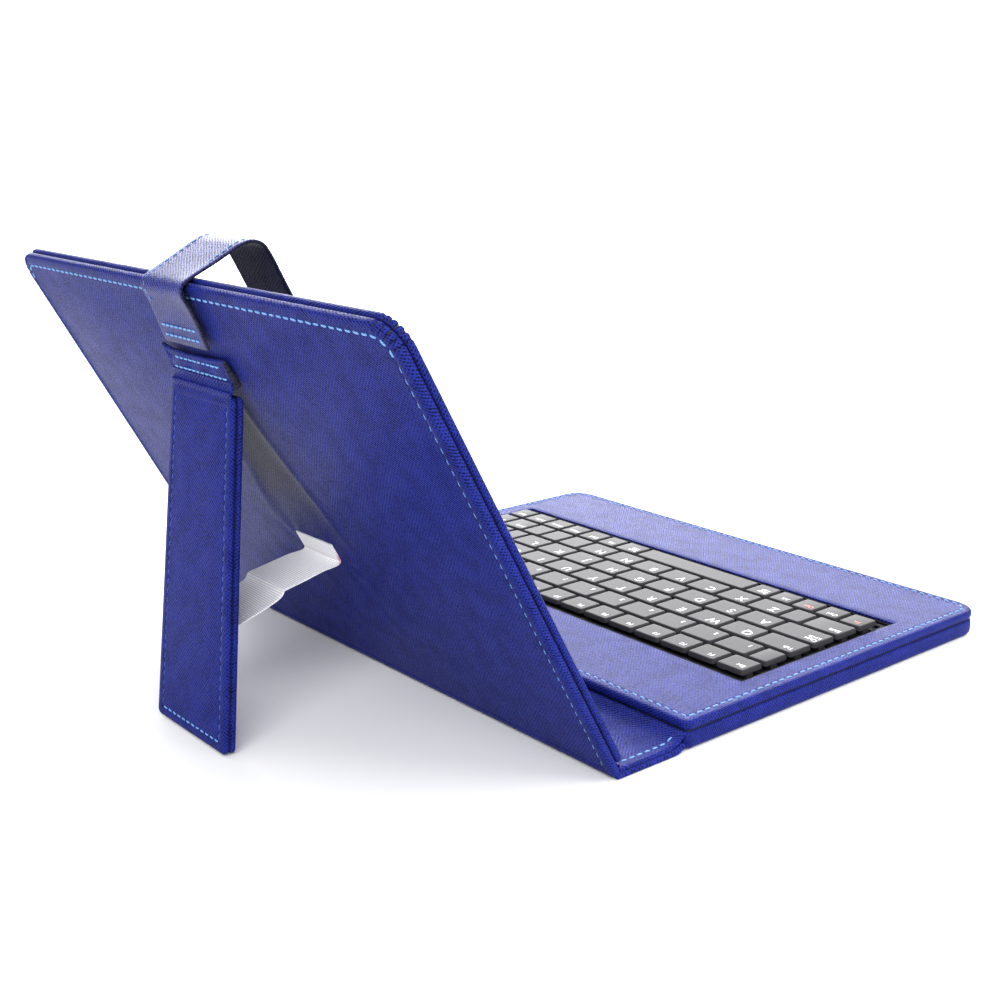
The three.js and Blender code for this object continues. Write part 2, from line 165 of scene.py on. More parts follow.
def crossGrainLeather(name, ridge, groove, shine=leather["gloss"]):
    # Polyurethane leather pressed with a fine cross grain: two crossing sets of wavering ridges
    # with dark pits between them. It breaks the gloss into short strokes. Where its mark is set, it turns dark
    # grey: painted shade, and the fray of the tab's cut edges.
    material, tree, shader = newMaterial(name)
    flat = addNode(tree, "ShaderNodeUVMap", uv_map="flat").outputs["UV"]
    wander = addNode(tree, "ShaderNodeTexNoise", {"Vector": flat, "Scale": 0.11, "Detail": 4.0})
    fine = addNode(tree, "ShaderNodeTexNoise", {"Vector": flat, "Scale": 0.9, "Detail": 3.0})
    sets = []
    for angle, gap, bend in ((-0.58, leather["lineGap"], 3.2), (0.85, leather["lineGap"] * 1.1, 3.8)):
        turned = addNode(tree, "ShaderNodeMapping", {"Vector": flat, "Rotation": (0, 0, angle)})
        lines = addNode(
            tree,
            "ShaderNodeTexWave",
            {
                "Vector": turned.outputs[0],
                "Scale": 0.31416 / gap,
                "Distortion": bend,
                "Detail": 2.0,
                "Detail Scale": 0.55,
                "Detail Roughness": 0.65,
            },
            bands_direction="Y",
        )
        sets.append(lines.outputs["Fac"])
    weaker = addNode(
        tree, "ShaderNodeMapRange", {
            "Value": wander.outputs["Fac"], "From Min": 0.35, "From Max": 0.65, "To Min": 0.45,
            "To Max": 0.95,
        }
    )
    second = addNode(tree, "ShaderNodeMath", {0: sets[1], 1: weaker.outputs[0]}, operation="MULTIPLY")
    crossed = addNode(
        tree, "ShaderNodeMath", {0: sets[0], 1: second.outputs[0], 2: 0.25}, operation="SMOOTH_MAX",
    )
    broken = addNode(
        tree, "ShaderNodeMapRange",
        {"Value": fine.outputs["Fac"], "From Min": 0.3, "From Max": 0.7, "To Min": -0.28, "To Max": 0.28},
    )
    grain = addNode(
        tree, "ShaderNodeMath", {0: crossed.outputs[0], 1: broken.outputs[0]}, operation="ADD",
        use_clamp=True,
    )
    colour = colourRamp(tree, grain.outputs[0], [(0.18, groove), (0.72, ridge), (1.0, ridge)])
    shade = colourRamp(tree, wander.outputs["Fac"], [(0.28, 0.9), (0.72, 1.08)])
    toned = addNode(tree, "ShaderNodeMix", data_type="RGBA", blend_type="MULTIPLY")
    mixOf(tree, toned, 1.0, colour, shade)
    # The mark mixes in the dark grey: painted shade, and the fray of the tab's cut edges.
    paintedShadeAndFray = addNode(tree, "ShaderNodeAttribute", attribute_name="paintedShadeAndFray")
    speck = colourRamp(tree, grain.outputs[0], [(0.35, 0.25), (0.8, 1.0)])
    amount = addNode(tree, "ShaderNodeMath", {0: paintedShadeAndFray.outputs["Fac"], 1: speck}, operation="MULTIPLY")
    shadeAndFrayMixed = addNode(tree, "ShaderNodeMix", data_type="RGBA")
    mixOf(tree, shadeAndFrayMixed, amount.outputs[0], mixed(toned), hexColour(leather["shadeAndFrayGrey"]))
    gloss = addNode(
        tree,
        "ShaderNodeMapRange",
        {
            "Value": grain.outputs[0], "To Min": leather["roughness"] + 0.14,
            "To Max": leather["roughness"] - 0.05,
        },
    )
    bump = addNode(
        tree,
        "ShaderNodeBump",
        {"Height": grain.outputs[0], "Strength": 0.6, "Distance": leather["depth"] * mm},
    )
    tree.links.new(mixed(shadeAndFrayMixed), shader.inputs["Base Color"])
    tree.links.new(gloss.outputs[0], shader.inputs["Roughness"])
    tree.links.new(bump.outputs[0], shader.inputs["Normal"])
    shader.inputs["Specular IOR Level"].default_value = shine
    return material


def twistedThread(name, colour, dark):
    # Bonded polyester thread, two plies twisted: slanting bands, soft gloss.
    material, tree, shader = newMaterial(name)
    flat = addNode(tree, "ShaderNodeUVMap", uv_map="flat").outputs["UV"]
    turned = addNode(tree, "ShaderNodeMapping", {"Vector": flat, "Rotation": (0, 0, 0.7)})
    plies = addNode(
        tree, "ShaderNodeTexWave", {"Vector": turned.outputs[0], "Scale": 0.31416 / 0.7}, bands_direction="Y"
    )
    shade = colourRamp(tree, plies.outputs["Fac"], [(0.0, dark), (0.55, colour)])
    bump = addNode(
        tree, "ShaderNodeBump", {"Height": plies.outputs["Fac"], "Strength": 0.5, "Distance": 0.08 * mm}
    )
    tree.links.new(shade, shader.inputs["Base Color"])
    tree.links.new(bump.outputs[0], shader.inputs["Normal"])
    shader.inputs["Roughness"].default_value = 0.55
    return material


def ribbedRibbon():
    # Woven polyester grosgrain: ribs across the ribbon, 0.95 mm apart, matt with a soft sheen.
    material, tree, shader = newMaterial("grosgrainRibbon")
    flat = addNode(tree, "ShaderNodeUVMap", uv_map="flat").outputs["UV"]
    ribs = addNode(
        tree,
        "ShaderNodeTexWave",
        {"Vector": flat, "Scale": 0.31416 / 0.95, "Distortion": 0.6, "Detail": 1.0, "Detail Scale": 0.4},
        bands_direction="Y",
    )
    yarn = addNode(tree, "ShaderNodeTexNoise", {"Vector": flat, "Scale": 2.2, "Detail": 3.0})
    shade = colourRamp(tree, ribs.outputs["Fac"], [(0.0, "#c4c4cc"), (0.6, "#f4f4f6")])
    dust = colourRamp(tree, yarn.outputs["Fac"], [(0.3, 0.88), (0.7, 1.05)])
    toned = addNode(tree, "ShaderNodeMix", data_type="RGBA", blend_type="MULTIPLY")
    mixOf(tree, toned, 1.0, shade, dust)
    dyed = addNode(tree, "ShaderNodeAttribute", attribute_name="frayed")
    colour = addNode(tree, "ShaderNodeMix", data_type="RGBA")
    mixOf(tree, colour, dyed.outputs["Fac"], mixed(toned), hexColour("#b04a63"))
    bump = addNode(
        tree, "ShaderNodeBump",
        {"Height": ribs.outputs["Fac"], "Strength": 0.7, "Distance": 0.2 * mm},
    )
    tree.links.new(mixed(colour), shader.inputs["Base Color"])
    tree.links.new(bump.outputs[0], shader.inputs["Normal"])
    shader.inputs["Roughness"].default_value = 0.85
    shader.inputs["Sheen Weight"].default_value = 0.2
    return material


def mouldedSurface(name, colour, roughness, grit, depth, metallic=0.0, spread=0.12, gleam=0.5):
    # A moulded, pressed or plated surface: one colour with a faint drift, and grit of a real size.
    material, tree, shader = newMaterial(name)
    place = addNode(tree, "ShaderNodeTexCoord").outputs["Object"]
    grain = addNode(tree, "ShaderNodeTexNoise", {"Vector": place, "Scale": 1 / (grit * mm), "Detail": 3.0})
    drift = addNode(tree, "ShaderNodeTexNoise", {"Vector": place, "Scale": 28.0, "Detail": 2.0})
    shade = colourRamp(tree, drift.outputs["Fac"], [(0.3, 1 - spread), (0.7, 1 + spread)])
    toned = addNode(tree, "ShaderNodeMix", data_type="RGBA", blend_type="MULTIPLY")
    mixOf(tree, toned, 1.0, hexColour(colour), shade)
    gloss = addNode(
        tree,
        "ShaderNodeMapRange",
        {"Value": grain.outputs["Fac"], "To Min": roughness - 0.07, "To Max": roughness + 0.07},
    )
    bump = addNode(
        tree, "ShaderNodeBump",
        {"Height": grain.outputs["Fac"], "Strength": 0.5, "Distance": depth * mm},
    )
    tree.links.new(mixed(toned), shader.inputs["Base Color"])
    tree.links.new(gloss.outputs[0], shader.inputs["Roughness"])
    tree.links.new(bump.outputs[0], shader.inputs["Normal"])
    shader.inputs["Metallic"].default_value = metallic
    shader.inputs["Specular IOR Level"].default_value = gleam
    return material


blueLeather = crossGrainLeather("crossGrainLeather", leather["ridge"], leather["groove"])
strapLeather = crossGrainLeather("strapLeather", leather["ridge"], leather["groove"], leather["strapGloss"])
# A darker copy of the blue leather, painted shade: the strap's underside and cut rim, and the tab's cut walls
# and inner side.
shadedLeather = crossGrainLeather("leatherInPaintedShade", "#14162f", "#07081a")
thread = twistedThread("polyesterThread", "#6d9fd0", "#3f70b0")
darkThread = twistedThread("shadedThread", "#2a459a", "#162768")
ribbonCloth = ribbedRibbon()
# Moulded ABS: near black, satin, a spark-eroded mould's fine grit.
blackPlastic = mouldedSurface("mouldedAbs", "#0b0b0d", 0.5, 0.35, 0.02, gleam=0.03)
# Key caps are ABS too, from a coarser mould, and look grey where light grazes them.
keyPlastic = mouldedSurface("keyCapAbs", "#2c2b2e", 0.4, 0.3, 0.02, gleam=0.05)
# Pad-printed white and red ink: matt, a little uneven.
whiteInk = mouldedSurface("paddedInkWhite", "#bcbcc2", 0.6, 0.25, 0.01, spread=0.05)
redInk = mouldedSurface("paddedInkRed", "#b0584f", 0.6, 0.25, 0.01, spread=0.05)
# Bookbinding board, matt pressed fibre, coloured near black: painted shade where it is seen between two layers.
greyBoard = mouldedSurface("bindingBoard", "#232226", 0.92, 0.8, 0.08)
# Nickel-plated steel: bright, with faint grinding marks.
platedSteel = mouldedSurface("nickelPlatedSteel", "#c8c9cc", 0.28, 0.4, 0.01, metallic=1.0, spread=0.04)
# Milky silicone sheet, matt.
silicone = mouldedSurface("mouldedSilicone", "#d6d6d0", 0.6, 0.5, 0.02, spread=0.05)
# Polyester contact film, smooth.
film = mouldedSurface("polyesterFilm", "#b9c2b4", 0.3, 0.6, 0.01, spread=0.05)
# Green solder mask over a fibreglass board.
circuit = mouldedSurface("solderMask", "#1f5a36", 0.4, 0.7, 0.02)
# Moulded black rubber of the cable outlet.
rubber = mouldedSurface("mouldedRubber", "#161617", 0.7, 0.4, 0.03)
print("materials made")


def addMesh(name, points, faces, flat=None, kinds=None, materials=(), solid=True, sharp=40, marks=None):
    # Points in mm and a list of face arrays become one object at the origin.
    mesh = bpy.data.meshes.new(name)
    listed = [face for block in faces for face in np.asarray(block).tolist()]
    mesh.from_pydata((np.asarray(points) * mm).tolist(), [], listed)
    if kinds is not None:
        mesh.polygons.foreach_set("material_index", np.concatenate(kinds).astype(np.int32))
    if flat is not None:
        corner = np.empty(len(mesh.loops), np.int32)
        mesh.loops.foreach_get("vertex_index", corner)
        layer = mesh.uv_layers.new(name="flat")
        layer.data.foreach_set("uv", np.asarray(flat, np.float32)[corner].ravel())
    for mark, values in (marks or {}).items():
        attribute = mesh.attributes.new(mark, "FLOAT", "POINT")
        attribute.data.foreach_set("value", np.asarray(values, np.float32).ravel())
    if solid:
        work = bmesh.new()
        work.from_mesh(mesh)
        bmesh.ops.recalc_face_normals(work, faces=work.faces)
        work.to_mesh(mesh)
        work.free()
    mesh.shade_smooth()
    mesh.set_sharp_from_angle(angle=np.radians(sharp))
    for material in materials:
        mesh.materials.append(material)
    piece = bpy.data.objects.new(name, mesh)
    bpy.context.scene.collection.objects.link(piece)
    return piece


def place(piece, body, slot, *nodes):
    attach(piece, body)
    settle(piece, slot, *nodes)


def settle(piece, slot, *nodes):
    if nodes:
        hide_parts(*nodes)


def smoothStep(value, low, high):
    t = np.clip((value - low) / (high - low), 0, 1)
    return t * t * (3 - 2 * t)


def gridQuads(index):
    # Quads between neighbouring rows and columns of an index grid.
    quads = np.stack([index[:-1, :-1], index[:-1, 1:], index[1:, 1:], index[1:, :-1]], -1)
    return quads.reshape(-1, 4)


def smoothPath(points, spacing):
    # Catmull-Rom curve through the points, cut into even lengths.
    knots = np.asarray(points, float)
    knots = np.vstack([2 * knots[0] - knots[1], knots, 2 * knots[-1] - knots[-2]])
    spans = len(points) - 1
    t = np.linspace(0, spans - 1e-9, 40 * spans)
    i = t.astype(int)
    f = (t - i)[:, None]
    a, b, c, d = knots[i], knots[i + 1], knots[i + 2], knots[i + 3]
    curve = 0.5 * (2 * b + (c - a) * f + (2 * a - 5 * b + 4 * c - d) * f**2 + (3 * b - a - 3 * c + d) * f**3)
    along = np.concatenate([[0], np.cumsum(np.linalg.norm(np.diff(curve, axis=0), axis=1))])
    even = np.linspace(0, along[-1], max(int(along[-1] / spacing) + 1, 3))
    return np.stack([np.interp(even, along, curve[:, k]) for k in range(curve.shape[1])], 1)


class Frame:
    # A leaning plane's own axes: across, up, and depth into the board.
    def __init__(self, origin, up, depth):
        self.origin = np.array(origin, float)
        self.axes = np.array([(1, 0, 0), up, depth], float)

    def points(self, x, y, z):
        x, y, z = np.broadcast_arrays(x, y, z)
        return self.origin + np.stack([x, y, z], -1).reshape(-1, 3) @ self.axes


def hemProfile(height, roll, radius, wall=1.2, stitch=5.0, dip=0.32, lift=0.1):
    # (inset, depth) from the lip of the turned edge, up the edge, over its roll and onto the face.
    angle = np.linspace(0, np.pi / 2, 6)
    edge = [(wall * 0.9, height), (wall * 0.5, height - 0.22), (0.2, height - 0.62), (0, height - 1.1)]
    edge += [(0, (height - 1.1 + roll) / 2)]
    edge += list(zip(roll * (1 - np.cos(angle)), roll * (1 - np.sin(angle))))
    face = [
        inset for inset in (2.3, 3.2, 3.9, 4.4, 4.8, 5.2, 5.6, 6.1, 7, 8.5) if roll + 0.2 < inset < radius - 0.2
    ]
    edge += [(inset, hemDepth(inset, roll, stitch, dip, lift)) for inset in [*face, radius]]
    return np.array(edge)


def hemDepth(inset, roll, stitch, dip, lift):
    # The face near a seam: level, raised over the turned hem, pulled in along the stitches.
    hem = smoothStep(inset, roll, roll + 1) * (1 - smoothStep(inset, stitch, stitch + 1.6))
    return dip * np.exp(-(((inset - stitch) / 0.7) ** 2)) - lift * hem


def axisLines(half, radius, step, rings, near=(), keep=()):
    # Grid lines over a board: rings at both borders, even lines between, closer by the border.
    inner = half - radius
    close = inner - np.array([0, *near], float)
    reach = close[-1]
    even = np.linspace(-reach, reach, max(2, int(round(2 * reach / step)) + 1))
    for value in keep:
        even = even[np.abs(even - value) > 0.45 * step]
    inside = np.unique(np.concatenate([even, close, -close, keep]).round(4))
    inside = inside[(inside >= -inner - 1e-6) & (inside <= inner + 1e-6)]
    border = np.arange(rings)
    nominal = np.concatenate([np.full(rings, -inner), inside, np.full(rings, inner)])
    level = np.concatenate([border, np.full(len(inside), rings), border[::-1]])
    side = np.concatenate([np.full(rings, -1), np.zeros(len(inside)), np.full(rings, 1)])
    return nominal, level.astype(int), side


def roundedGrid(columns, rows, profile, radius, tight=None):
    # A plate's grid with round corners: a ring's corner points lie on an arc of radius minus inset.
    # tight is an end, -1 or 1, and the radius of its two corners where they are squarer: the arc is
    # pushed out along its own rays to two straight sides and a smaller arc. Returns across, up, depth,
    # the same unrolled flat, the ring's number, how far round a corner, and the ray's direction.
    rings = len(profile) - 1
    steps = np.linalg.norm(np.diff(profile, axis=0), axis=1)
    unrolled = np.concatenate([np.cumsum(steps[::-1])[::-1], [0]])
    (x, levelX, sideX), (y, levelY, sideY) = columns, rows
    level = np.minimum(levelX[None, :], levelY[:, None])
    shareX, shareY = np.meshgrid(1 - levelX / rings, 1 - levelY / rings)
    reach = np.hypot(shareX, shareY)
    safe = np.where(reach > 0, reach, 1)
    toward = (sideX[None, :] * shareX / safe, sideY[:, None] * shareY / safe)
    span = radius - profile[level, 0]
    out = unrolled[level]
    corner = np.arctan2(shareY, shareX) * (shareX > 0) * (shareY > 0)
    if tight is not None:
        there = (sideY[:, None] * tight[0] > 0) & (corner > 0)
        longer = squareCorners(span, toward, tight[1] - profile[level, 0])
        span, out = span * np.where(there, longer, 1), out * np.where(there, longer, 1)
    across, up = x[None, :] + toward[0] * span, y[:, None] + toward[1] * span
    flat = (x[None, :] + toward[0] * out, y[:, None] + toward[1] * out)
    return across, up, profile[level, 1], flat, level, corner, toward


def squareCorners(span, toward, small):
    # How much further a ray from an arc's centre goes to reach a square of half side span whose
    # corners have the radius small.
    small = np.clip(small, 0.05, None)
    cos, sin = np.abs(toward[0]), np.abs(toward[1])
    reach = span - small
    under = np.clip(small**2 - reach**2 * (1 - 2 * cos * sin), 0, None)
    arc = reach * (cos + sin) + np.sqrt(under)
    straight = span / np.maximum(np.maximum(cos, sin), 1e-6)
    onSide = np.minimum(cos, sin) * straight <= reach
    return np.where(onSide, straight, arc) / np.maximum(span, 1e-6)


def stitchHoles(x, y, half, inset, pitch=4.4, depth=0.7):
    # Painted shade in the needle holes, in a row along the two long borders, once a stitch.
    away = half - np.abs(x) - inset
    return depth * np.exp(-((away / 0.5) ** 2)) * smoothStep(np.sin(y * 2 * np.pi / pitch), -0.2, 0.8)


def boardSkin(name, frameAxes, size, radius, profile, skin=1.0, wall=1.2, step=3.0, near=(), relief=None,
              taper=0.0, pleats=0.0, opening=None, marks=None, tight=None, material=blueLeather):
    # Leather over a board: an outer grid and an inner one, joined along the lip of the turned edge,
    # and along the opening if there is one.
    halfX, low, high = size
    halfY, middle = (high - low) / 2, (high + low) / 2
    rings = len(profile) - 1
    keepX = keepY = ()
    if opening:
        x0, x1, y0, y1 = opening
        keepX = (x0 - 0.8, x0 - 0.25, x0, x1, x1 + 0.25, x1 + 0.8)
        keepY = tuple(v - middle for v in (y0 - 0.8, y0 - 0.25, y0, y1, y1 + 0.25, y1 + 0.8))
    columns = axisLines(halfX, radius, step, rings, near, keepX)
    rows = axisLines(halfY, radius, step, rings, near, keepY)
    x, y, depth, flat, level, corner, toward = roundedGrid(columns, rows, profile, radius, tight)
    inset = np.minimum(halfX - np.abs(x), halfY - np.abs(y))
    inset = np.where(level < rings, profile[level, 0], inset)
    if relief is not None:
        depth = depth + relief(x, y + middle, inset, level < rings)
    if pleats:
        drawn = pleats * (1 - np.abs(np.sin(corner * 12))) ** 2 * smoothStep(rings * 0.62 - level, 0, 4)
        drawn = drawn * (corner > 0.05) * (corner < np.pi / 2 - 0.05)
        if tight is not None:
            drawn = drawn * (rows[2][:, None] * tight[0] < 0)
        x, y, depth = x - toward[0] * drawn, y - toward[1] * drawn, depth + drawn * 0.4 * (level > 5)
    if opening:
        away = np.maximum(np.maximum(x0 - x, x - x1), np.maximum(y0 - middle - y, y - (y1 - middle)))
        depth = depth + 0.3 * (1 - smoothStep(away, 0, 0.9))
    under = [
        (wall * 0.8, profile[0, 1]), (wall, profile[0, 1] - 0.15), (wall, skin + 0.1),
        (wall + 0.1, skin), (radius, skin),
    ]
    spread = np.linspace(0, 1, len(under))
    inner = np.stack(
        [np.interp(np.linspace(0, 1, rings + 1), spread, np.array(under)[:, k]) for k in (0, 1)], 1,
    )
    if radius < wall + 0.15:
        inner[:, 0] = np.minimum(inner[:, 0], radius)
    ix, iy, iDepth, iFlat, *_ = roundedGrid(columns, rows, inner, radius, tight)
    if radius < wall + 0.15:
        ix, iy = ix * (halfX - wall) / halfX, iy * (halfY - wall) / halfY
    count = x.size
    index = np.arange(count).reshape(x.shape)
    below = index + count
    edge = np.zeros(x.shape, bool)
    edge[[0, -1], :] = True
    edge[:, [0, -1]] = True
    below = np.where(edge, index, below)
    widen = lambda across, up: across * (1 + taper * (up / halfY))
    top = frameAxes.points(widen(x, y), y + middle, depth)
    bottom = frameAxes.points(widen(ix, iy), iy + middle, iDepth)
    faces = [gridQuads(index), gridQuads(below)]
    if opening:
        centreX = (x[:-1, :-1] + x[1:, 1:]).ravel() / 2
        centreY = (y[:-1, :-1] + y[1:, 1:]).ravel() / 2 + middle
        kept = ~((centreX > x0) & (centreX < x1) & (centreY > y0) & (centreY < y1))
        faces = [face[kept] for face in faces]
        a, b = (int(np.argmin(np.abs(columns[0] - v))) for v in (x0, x1))
        c, d = (int(np.argmin(np.abs(rows[0] + middle - v))) for v in (y0, y1))
        loop = np.concatenate([
            index[c, a:b], index[c:d, b], index[d, b:a:-1], index[d:c:-1, a]
        ])
        ahead = np.roll(loop, -1)
        faces.append(np.stack([loop, ahead, ahead + count, loop + count], 1))
    points = np.vstack([top, bottom])
    flats = np.stack([np.concatenate([flat[k].ravel(), iFlat[k].ravel()]) for k in (0, 1)], 1)
    made = None
    if marks:
        made = {
            key: np.concatenate([rule(x, y + middle).ravel(), np.zeros(count)])
            for key, rule in marks.items()
        }
        # Painted shade in the folds of the corner pleats.
        if pleats:
            made["paintedShadeAndFray"][:count] = np.maximum(made["paintedShadeAndFray"][:count], (drawn / pleats).ravel())
    piece = addMesh(name, points, faces, flats, materials=(material,), marks=made)
    if opening:
        tidyLoose(piece)
    return piece


def tidyLoose(piece):
    work = bmesh.new()
    work.from_mesh(piece.data)
    loose = [vertex for vertex in work.verts if not vertex.link_faces]
    bmesh.ops.delete(work, geom=loose, context="VERTS")
    work.to_mesh(piece.data)
    work.free()


def band(name, path, width, thickness, materials=(blueLeather,), columns=17, edge=0.4, lift=None, shift=None,
         widths=None, start=0.0, marks=None, close=0.92, swell=None):
    # A strip of even thickness along a path in the Y-Z plane, its rim thinned where it is cut.
    # lift(across, along) raises it off its path, swell(across, along) gives how much its upper and
    # lower sides bulge, and widths and shift vary it along its length.
    path = np.asarray(path, float)
    ahead = np.gradient(path, axis=0)
    ahead /= np.linalg.norm(ahead, axis=1)[:, None]
    normal = np.stack([-ahead[:, 1], ahead[:, 0]], 1)
    along = np.concatenate([[0], np.cumsum(np.linalg.norm(np.diff(path, axis=0), axis=1))])
    share = np.sin(np.linspace(-np.pi / 2, np.pi / 2, columns))
    full = np.full(len(path), width) if widths is None else np.asarray(widths)
    across = share[None, :] * full[:, None] / 2
    aside = across + (np.zeros(len(path)) if shift is None else shift)[:, None]
    rim = edge + (1 - edge) * np.sqrt(np.clip((1 - np.abs(share)) / (1 - close), 0, 1))
    raised = 0 if lift is None else lift(across, along[:, None])
    sides = []
    bulges = (0, 0) if swell is None else swell(across, along[:, None])
    for sign, bulge in zip((1, -1), bulges):
        off = sign * (thickness / 2 * rim[None, :] + bulge) + raised
        sides.append(
            np.stack([aside, path[:, :1] + normal[:, :1] * off, path[:, 1:] + normal[:, 1:] * off], -1)
        )
    count = aside.size
    index = np.arange(count).reshape(aside.shape)
    faces = [gridQuads(index), gridQuads(index + count)]
    rimLoop = np.concatenate([index[0, :-1], index[:-1, -1], index[-1, :0:-1], index[:0:-1, 0]])
    following = np.roll(rimLoop, -1)
    faces.append(np.stack([rimLoop, following, following + count, rimLoop + count], 1))
    kinds = [np.full(len(face), min(kind, len(materials) - 1)) for kind, face in enumerate(faces)]
    flat = np.stack([across.ravel(), np.broadcast_to(along[:, None] + start, across.shape).ravel()], 1)
    made = {
        key: np.tile(rule(across, along[:, None] + 0 * across).ravel(), 2)
        for key, rule in (marks or {}).items()
    }
    points = np.vstack([side.reshape(-1, 3) for side in sides])
    return addMesh(name, points, faces, np.tile(flat, (2, 1)), kinds, materials, marks=made)


sewing = {"pitch": 4.4, "length": 3.1, "radius": 0.34, "sides": 6, "rings": 7, "slant": 0.1}


def stitchRow(name, lines, pitch=None, length=None, radius=None, material=thread):
    # Short lengths of thread along lines: each is a tube whose ends sink into the leather.
    # A line is its points and the leather's outward direction there.
    pitch, length = pitch or sewing["pitch"], length or sewing["length"]
    radius = radius or sewing["radius"]
    starts, ends, outs = [], [], []
    for points, normals in lines:
        along = np.concatenate([[0], np.cumsum(np.linalg.norm(np.diff(points, axis=0), axis=1))])
        count = max(1, int(round(along[-1] / pitch)))
        centre = (np.arange(count) + 0.5) * along[-1] / count
        at = lambda s: np.stack([np.interp(s, along, points[:, k]) for k in range(3)], 1)
        starts.append(at(centre - length / 2))
        ends.append(at(centre + length / 2))
        outs.append(np.stack([np.interp(centre, along, normals[:, k]) for k in range(3)], 1))
    start, end, out = np.vstack(starts), np.vstack(ends), np.vstack(outs)
    out /= np.linalg.norm(out, axis=1)[:, None]
    run = (end - start) / 2
    beside = np.cross(run, out)
    beside /= np.linalg.norm(beside, axis=1)[:, None]
    turn = random.normal(sewing["slant"], 0.05, len(run))[:, None]
    run = run + beside * turn * np.linalg.norm(run, axis=1)[:, None]
    t = np.linspace(-1, 1, sewing["rings"])
    angle = np.arange(sewing["sides"]) * 2 * np.pi / sewing["sides"]
    girth = radius * np.sqrt(1 - 0.8 * t**6)
    rise = radius * (0.75 - 1.5 * t**4)
    middle = (start + end)[:, None, None, :] / 2
    points = (
        middle
        + run[:, None, None, :] * t[None, :, None, None]
        + out[:, None, None, :] * (rise[:, None] + girth[:, None] * np.cos(angle))[None, :, :, None]
        + beside[:, None, None, :] * (1.15 * girth[:, None] * np.sin(angle))[None, :, :, None]
    )
    count, rings, sides = len(run), len(t), len(angle)
    index = np.arange(count * rings * sides).reshape(count, rings, sides)
    wrapped = np.concatenate([index, index[:, :, :1]], 2)
    quads = np.stack([wrapped[:, :-1, :-1], wrapped[:, :-1, 1:], wrapped[:, 1:, 1:], wrapped[:, 1:, :-1]], -1)
    faces = [quads.reshape(-1, 4), index[:, 0], index[:, -1]]
    flat = np.stack(np.broadcast_arrays(
        (angle * radius)[None, None, :], (t * length / 2)[None, :, None] + np.zeros((count, 1, 1))
    ), -1).reshape(-1, 2)
    return addMesh(name, points.reshape(-1, 3), faces, flat, materials=(material,), sharp=80)


def insetOutline(size, radius, inset, parts=("left", "top", "right", "bottom"), spacing=1.5):
    # The outline of a rounded plate moved inwards, as one polyline for the named sides in order.
    half, low, high = size
    r0, r1 = (max(value - inset, 0.3) for value in (radius if isinstance(radius, tuple) else (radius, radius)))
    x, y0, y1 = half - inset, low + inset, high - inset
    corners = {
        "left": (-x + r1, y1 - r1, 180, r1), "top": (x - r1, y1 - r1, 90, r1),
        "right": (x - r0, y0 + r0, 0, r0), "bottom": (-x + r0, y0 + r0, 270, r0),
    }
    runs = {
        "left": ((-x, y0 + r0), (-x, y1 - r1)), "top": ((-x + r1, y1), (x - r1, y1)),
        "right": ((x, y1 - r1), (x, y0 + r0)), "bottom": ((x - r0, y0), (-x + r0, y0)),
    }
    line = []
    for part in parts:
        (ax, ay), (bx, by) = runs[part]
        count = max(2, int(np.hypot(bx - ax, by - ay) / spacing))
        line.append(np.stack([np.linspace(ax, bx, count), np.linspace(ay, by, count)], 1))
        if part != parts[-1] or len(parts) == 4:
            cx, cy, first, r = corners[part]
            turn = np.radians(np.linspace(first, first - 90, 8))[1:-1]
            line.append(np.stack([cx + r * np.cos(turn), cy + r * np.sin(turn)], 1))
    if len(parts) == 4:
        line.append(line[0][:1])
    return np.vstack(line)


def seamOn(frameAxes, outline, depthAt, taper=0.0, size=None):
    # A stitch line on a board's face, with the face's outward direction.
    x, y = outline[:, 0], outline[:, 1]
    if taper:
        _, low, high = size
        x = x * (1 + taper * (y - (high + low) / 2) / ((high - low) / 2))
    points = frameAxes.points(x, y, depthAt(x, y))
    return points, np.tile(-frameAxes.axes[2], (len(points), 1))


base = {
    "half": 135, "low": -98, "high": 98, "radius": 11, "hingeRadius": 3, "coverHeight": 7.4, "deckTop": 12,
    "deckEdge": 8, "underRoll": 2.6, "deckRoll": 1.7, "seam": 4.2,
}
trayOpening = (-121.35, 123.35, -50.35, 51.85)
baseSize = (base["half"], base["low"], base["high"])
nearLines = (1.5, 3, 5)


def softUneven(x, y, seed=0.0):
    # A slow unevenness of hand-covered board, a few hundredths of a millimetre.
    return 0.05 * np.sin(x / 17 + 1.3 + seed) * np.sin(y / 23 + 0.4) + 0.03 * np.sin(x / 7.3 + y / 9.1 + seed)


def deckRelief(x, y, inset, border):
    fade = smoothStep(inset, 2, 12)
    beyond = np.where(border, 0, hemDepth(inset, base["deckRoll"], base["seam"], 0.34, 0.12))
    pucker = 0.1 * np.sin(x * 1.43) * np.sin(y * 1.43) * np.exp(-(((inset - base["seam"] + 1.2) / 1.4) ** 2))
    return beyond + fade * softUneven(x, y) + pucker * (1 - border)


upFromTable = Frame((0, 0, 0), (0, 1, 0), (0, 0, 1))
downFromDeck = Frame((0, 0, base["deckTop"]), (0, 1, 0), (0, 0, -1))

baseProfile = hemProfile(base["coverHeight"], base["underRoll"], base["radius"], stitch=base["seam"])
squareAtHinge = (1, base["hingeRadius"])
baseCover = boardSkin(
    "base_cover_leather", upFromTable, baseSize, base["radius"], baseProfile, step=6, near=nearLines,
    relief=lambda x, y, inset, border: np.where(
        border, 0, hemDepth(inset, base["underRoll"], base["seam"], 0.32, 0),
    ),
    pleats=0.45, tight=squareAtHinge,
)
place(baseCover, "keyboard_base", "blue_leather", "base_cover")

deckProfile = hemProfile(
    base["deckTop"] - base["deckEdge"], base["deckRoll"], base["radius"], stitch=base["seam"],
)
deckCover = boardSkin(
    "deck_cover_leather", downFromDeck, baseSize, base["radius"], deckProfile, step=4, near=nearLines,
    relief=deckRelief, pleats=0.45, opening=trayOpening, tight=squareAtHinge,
)
place(deckCover, "keyboard_base", "blue_leather", "deck_cover")

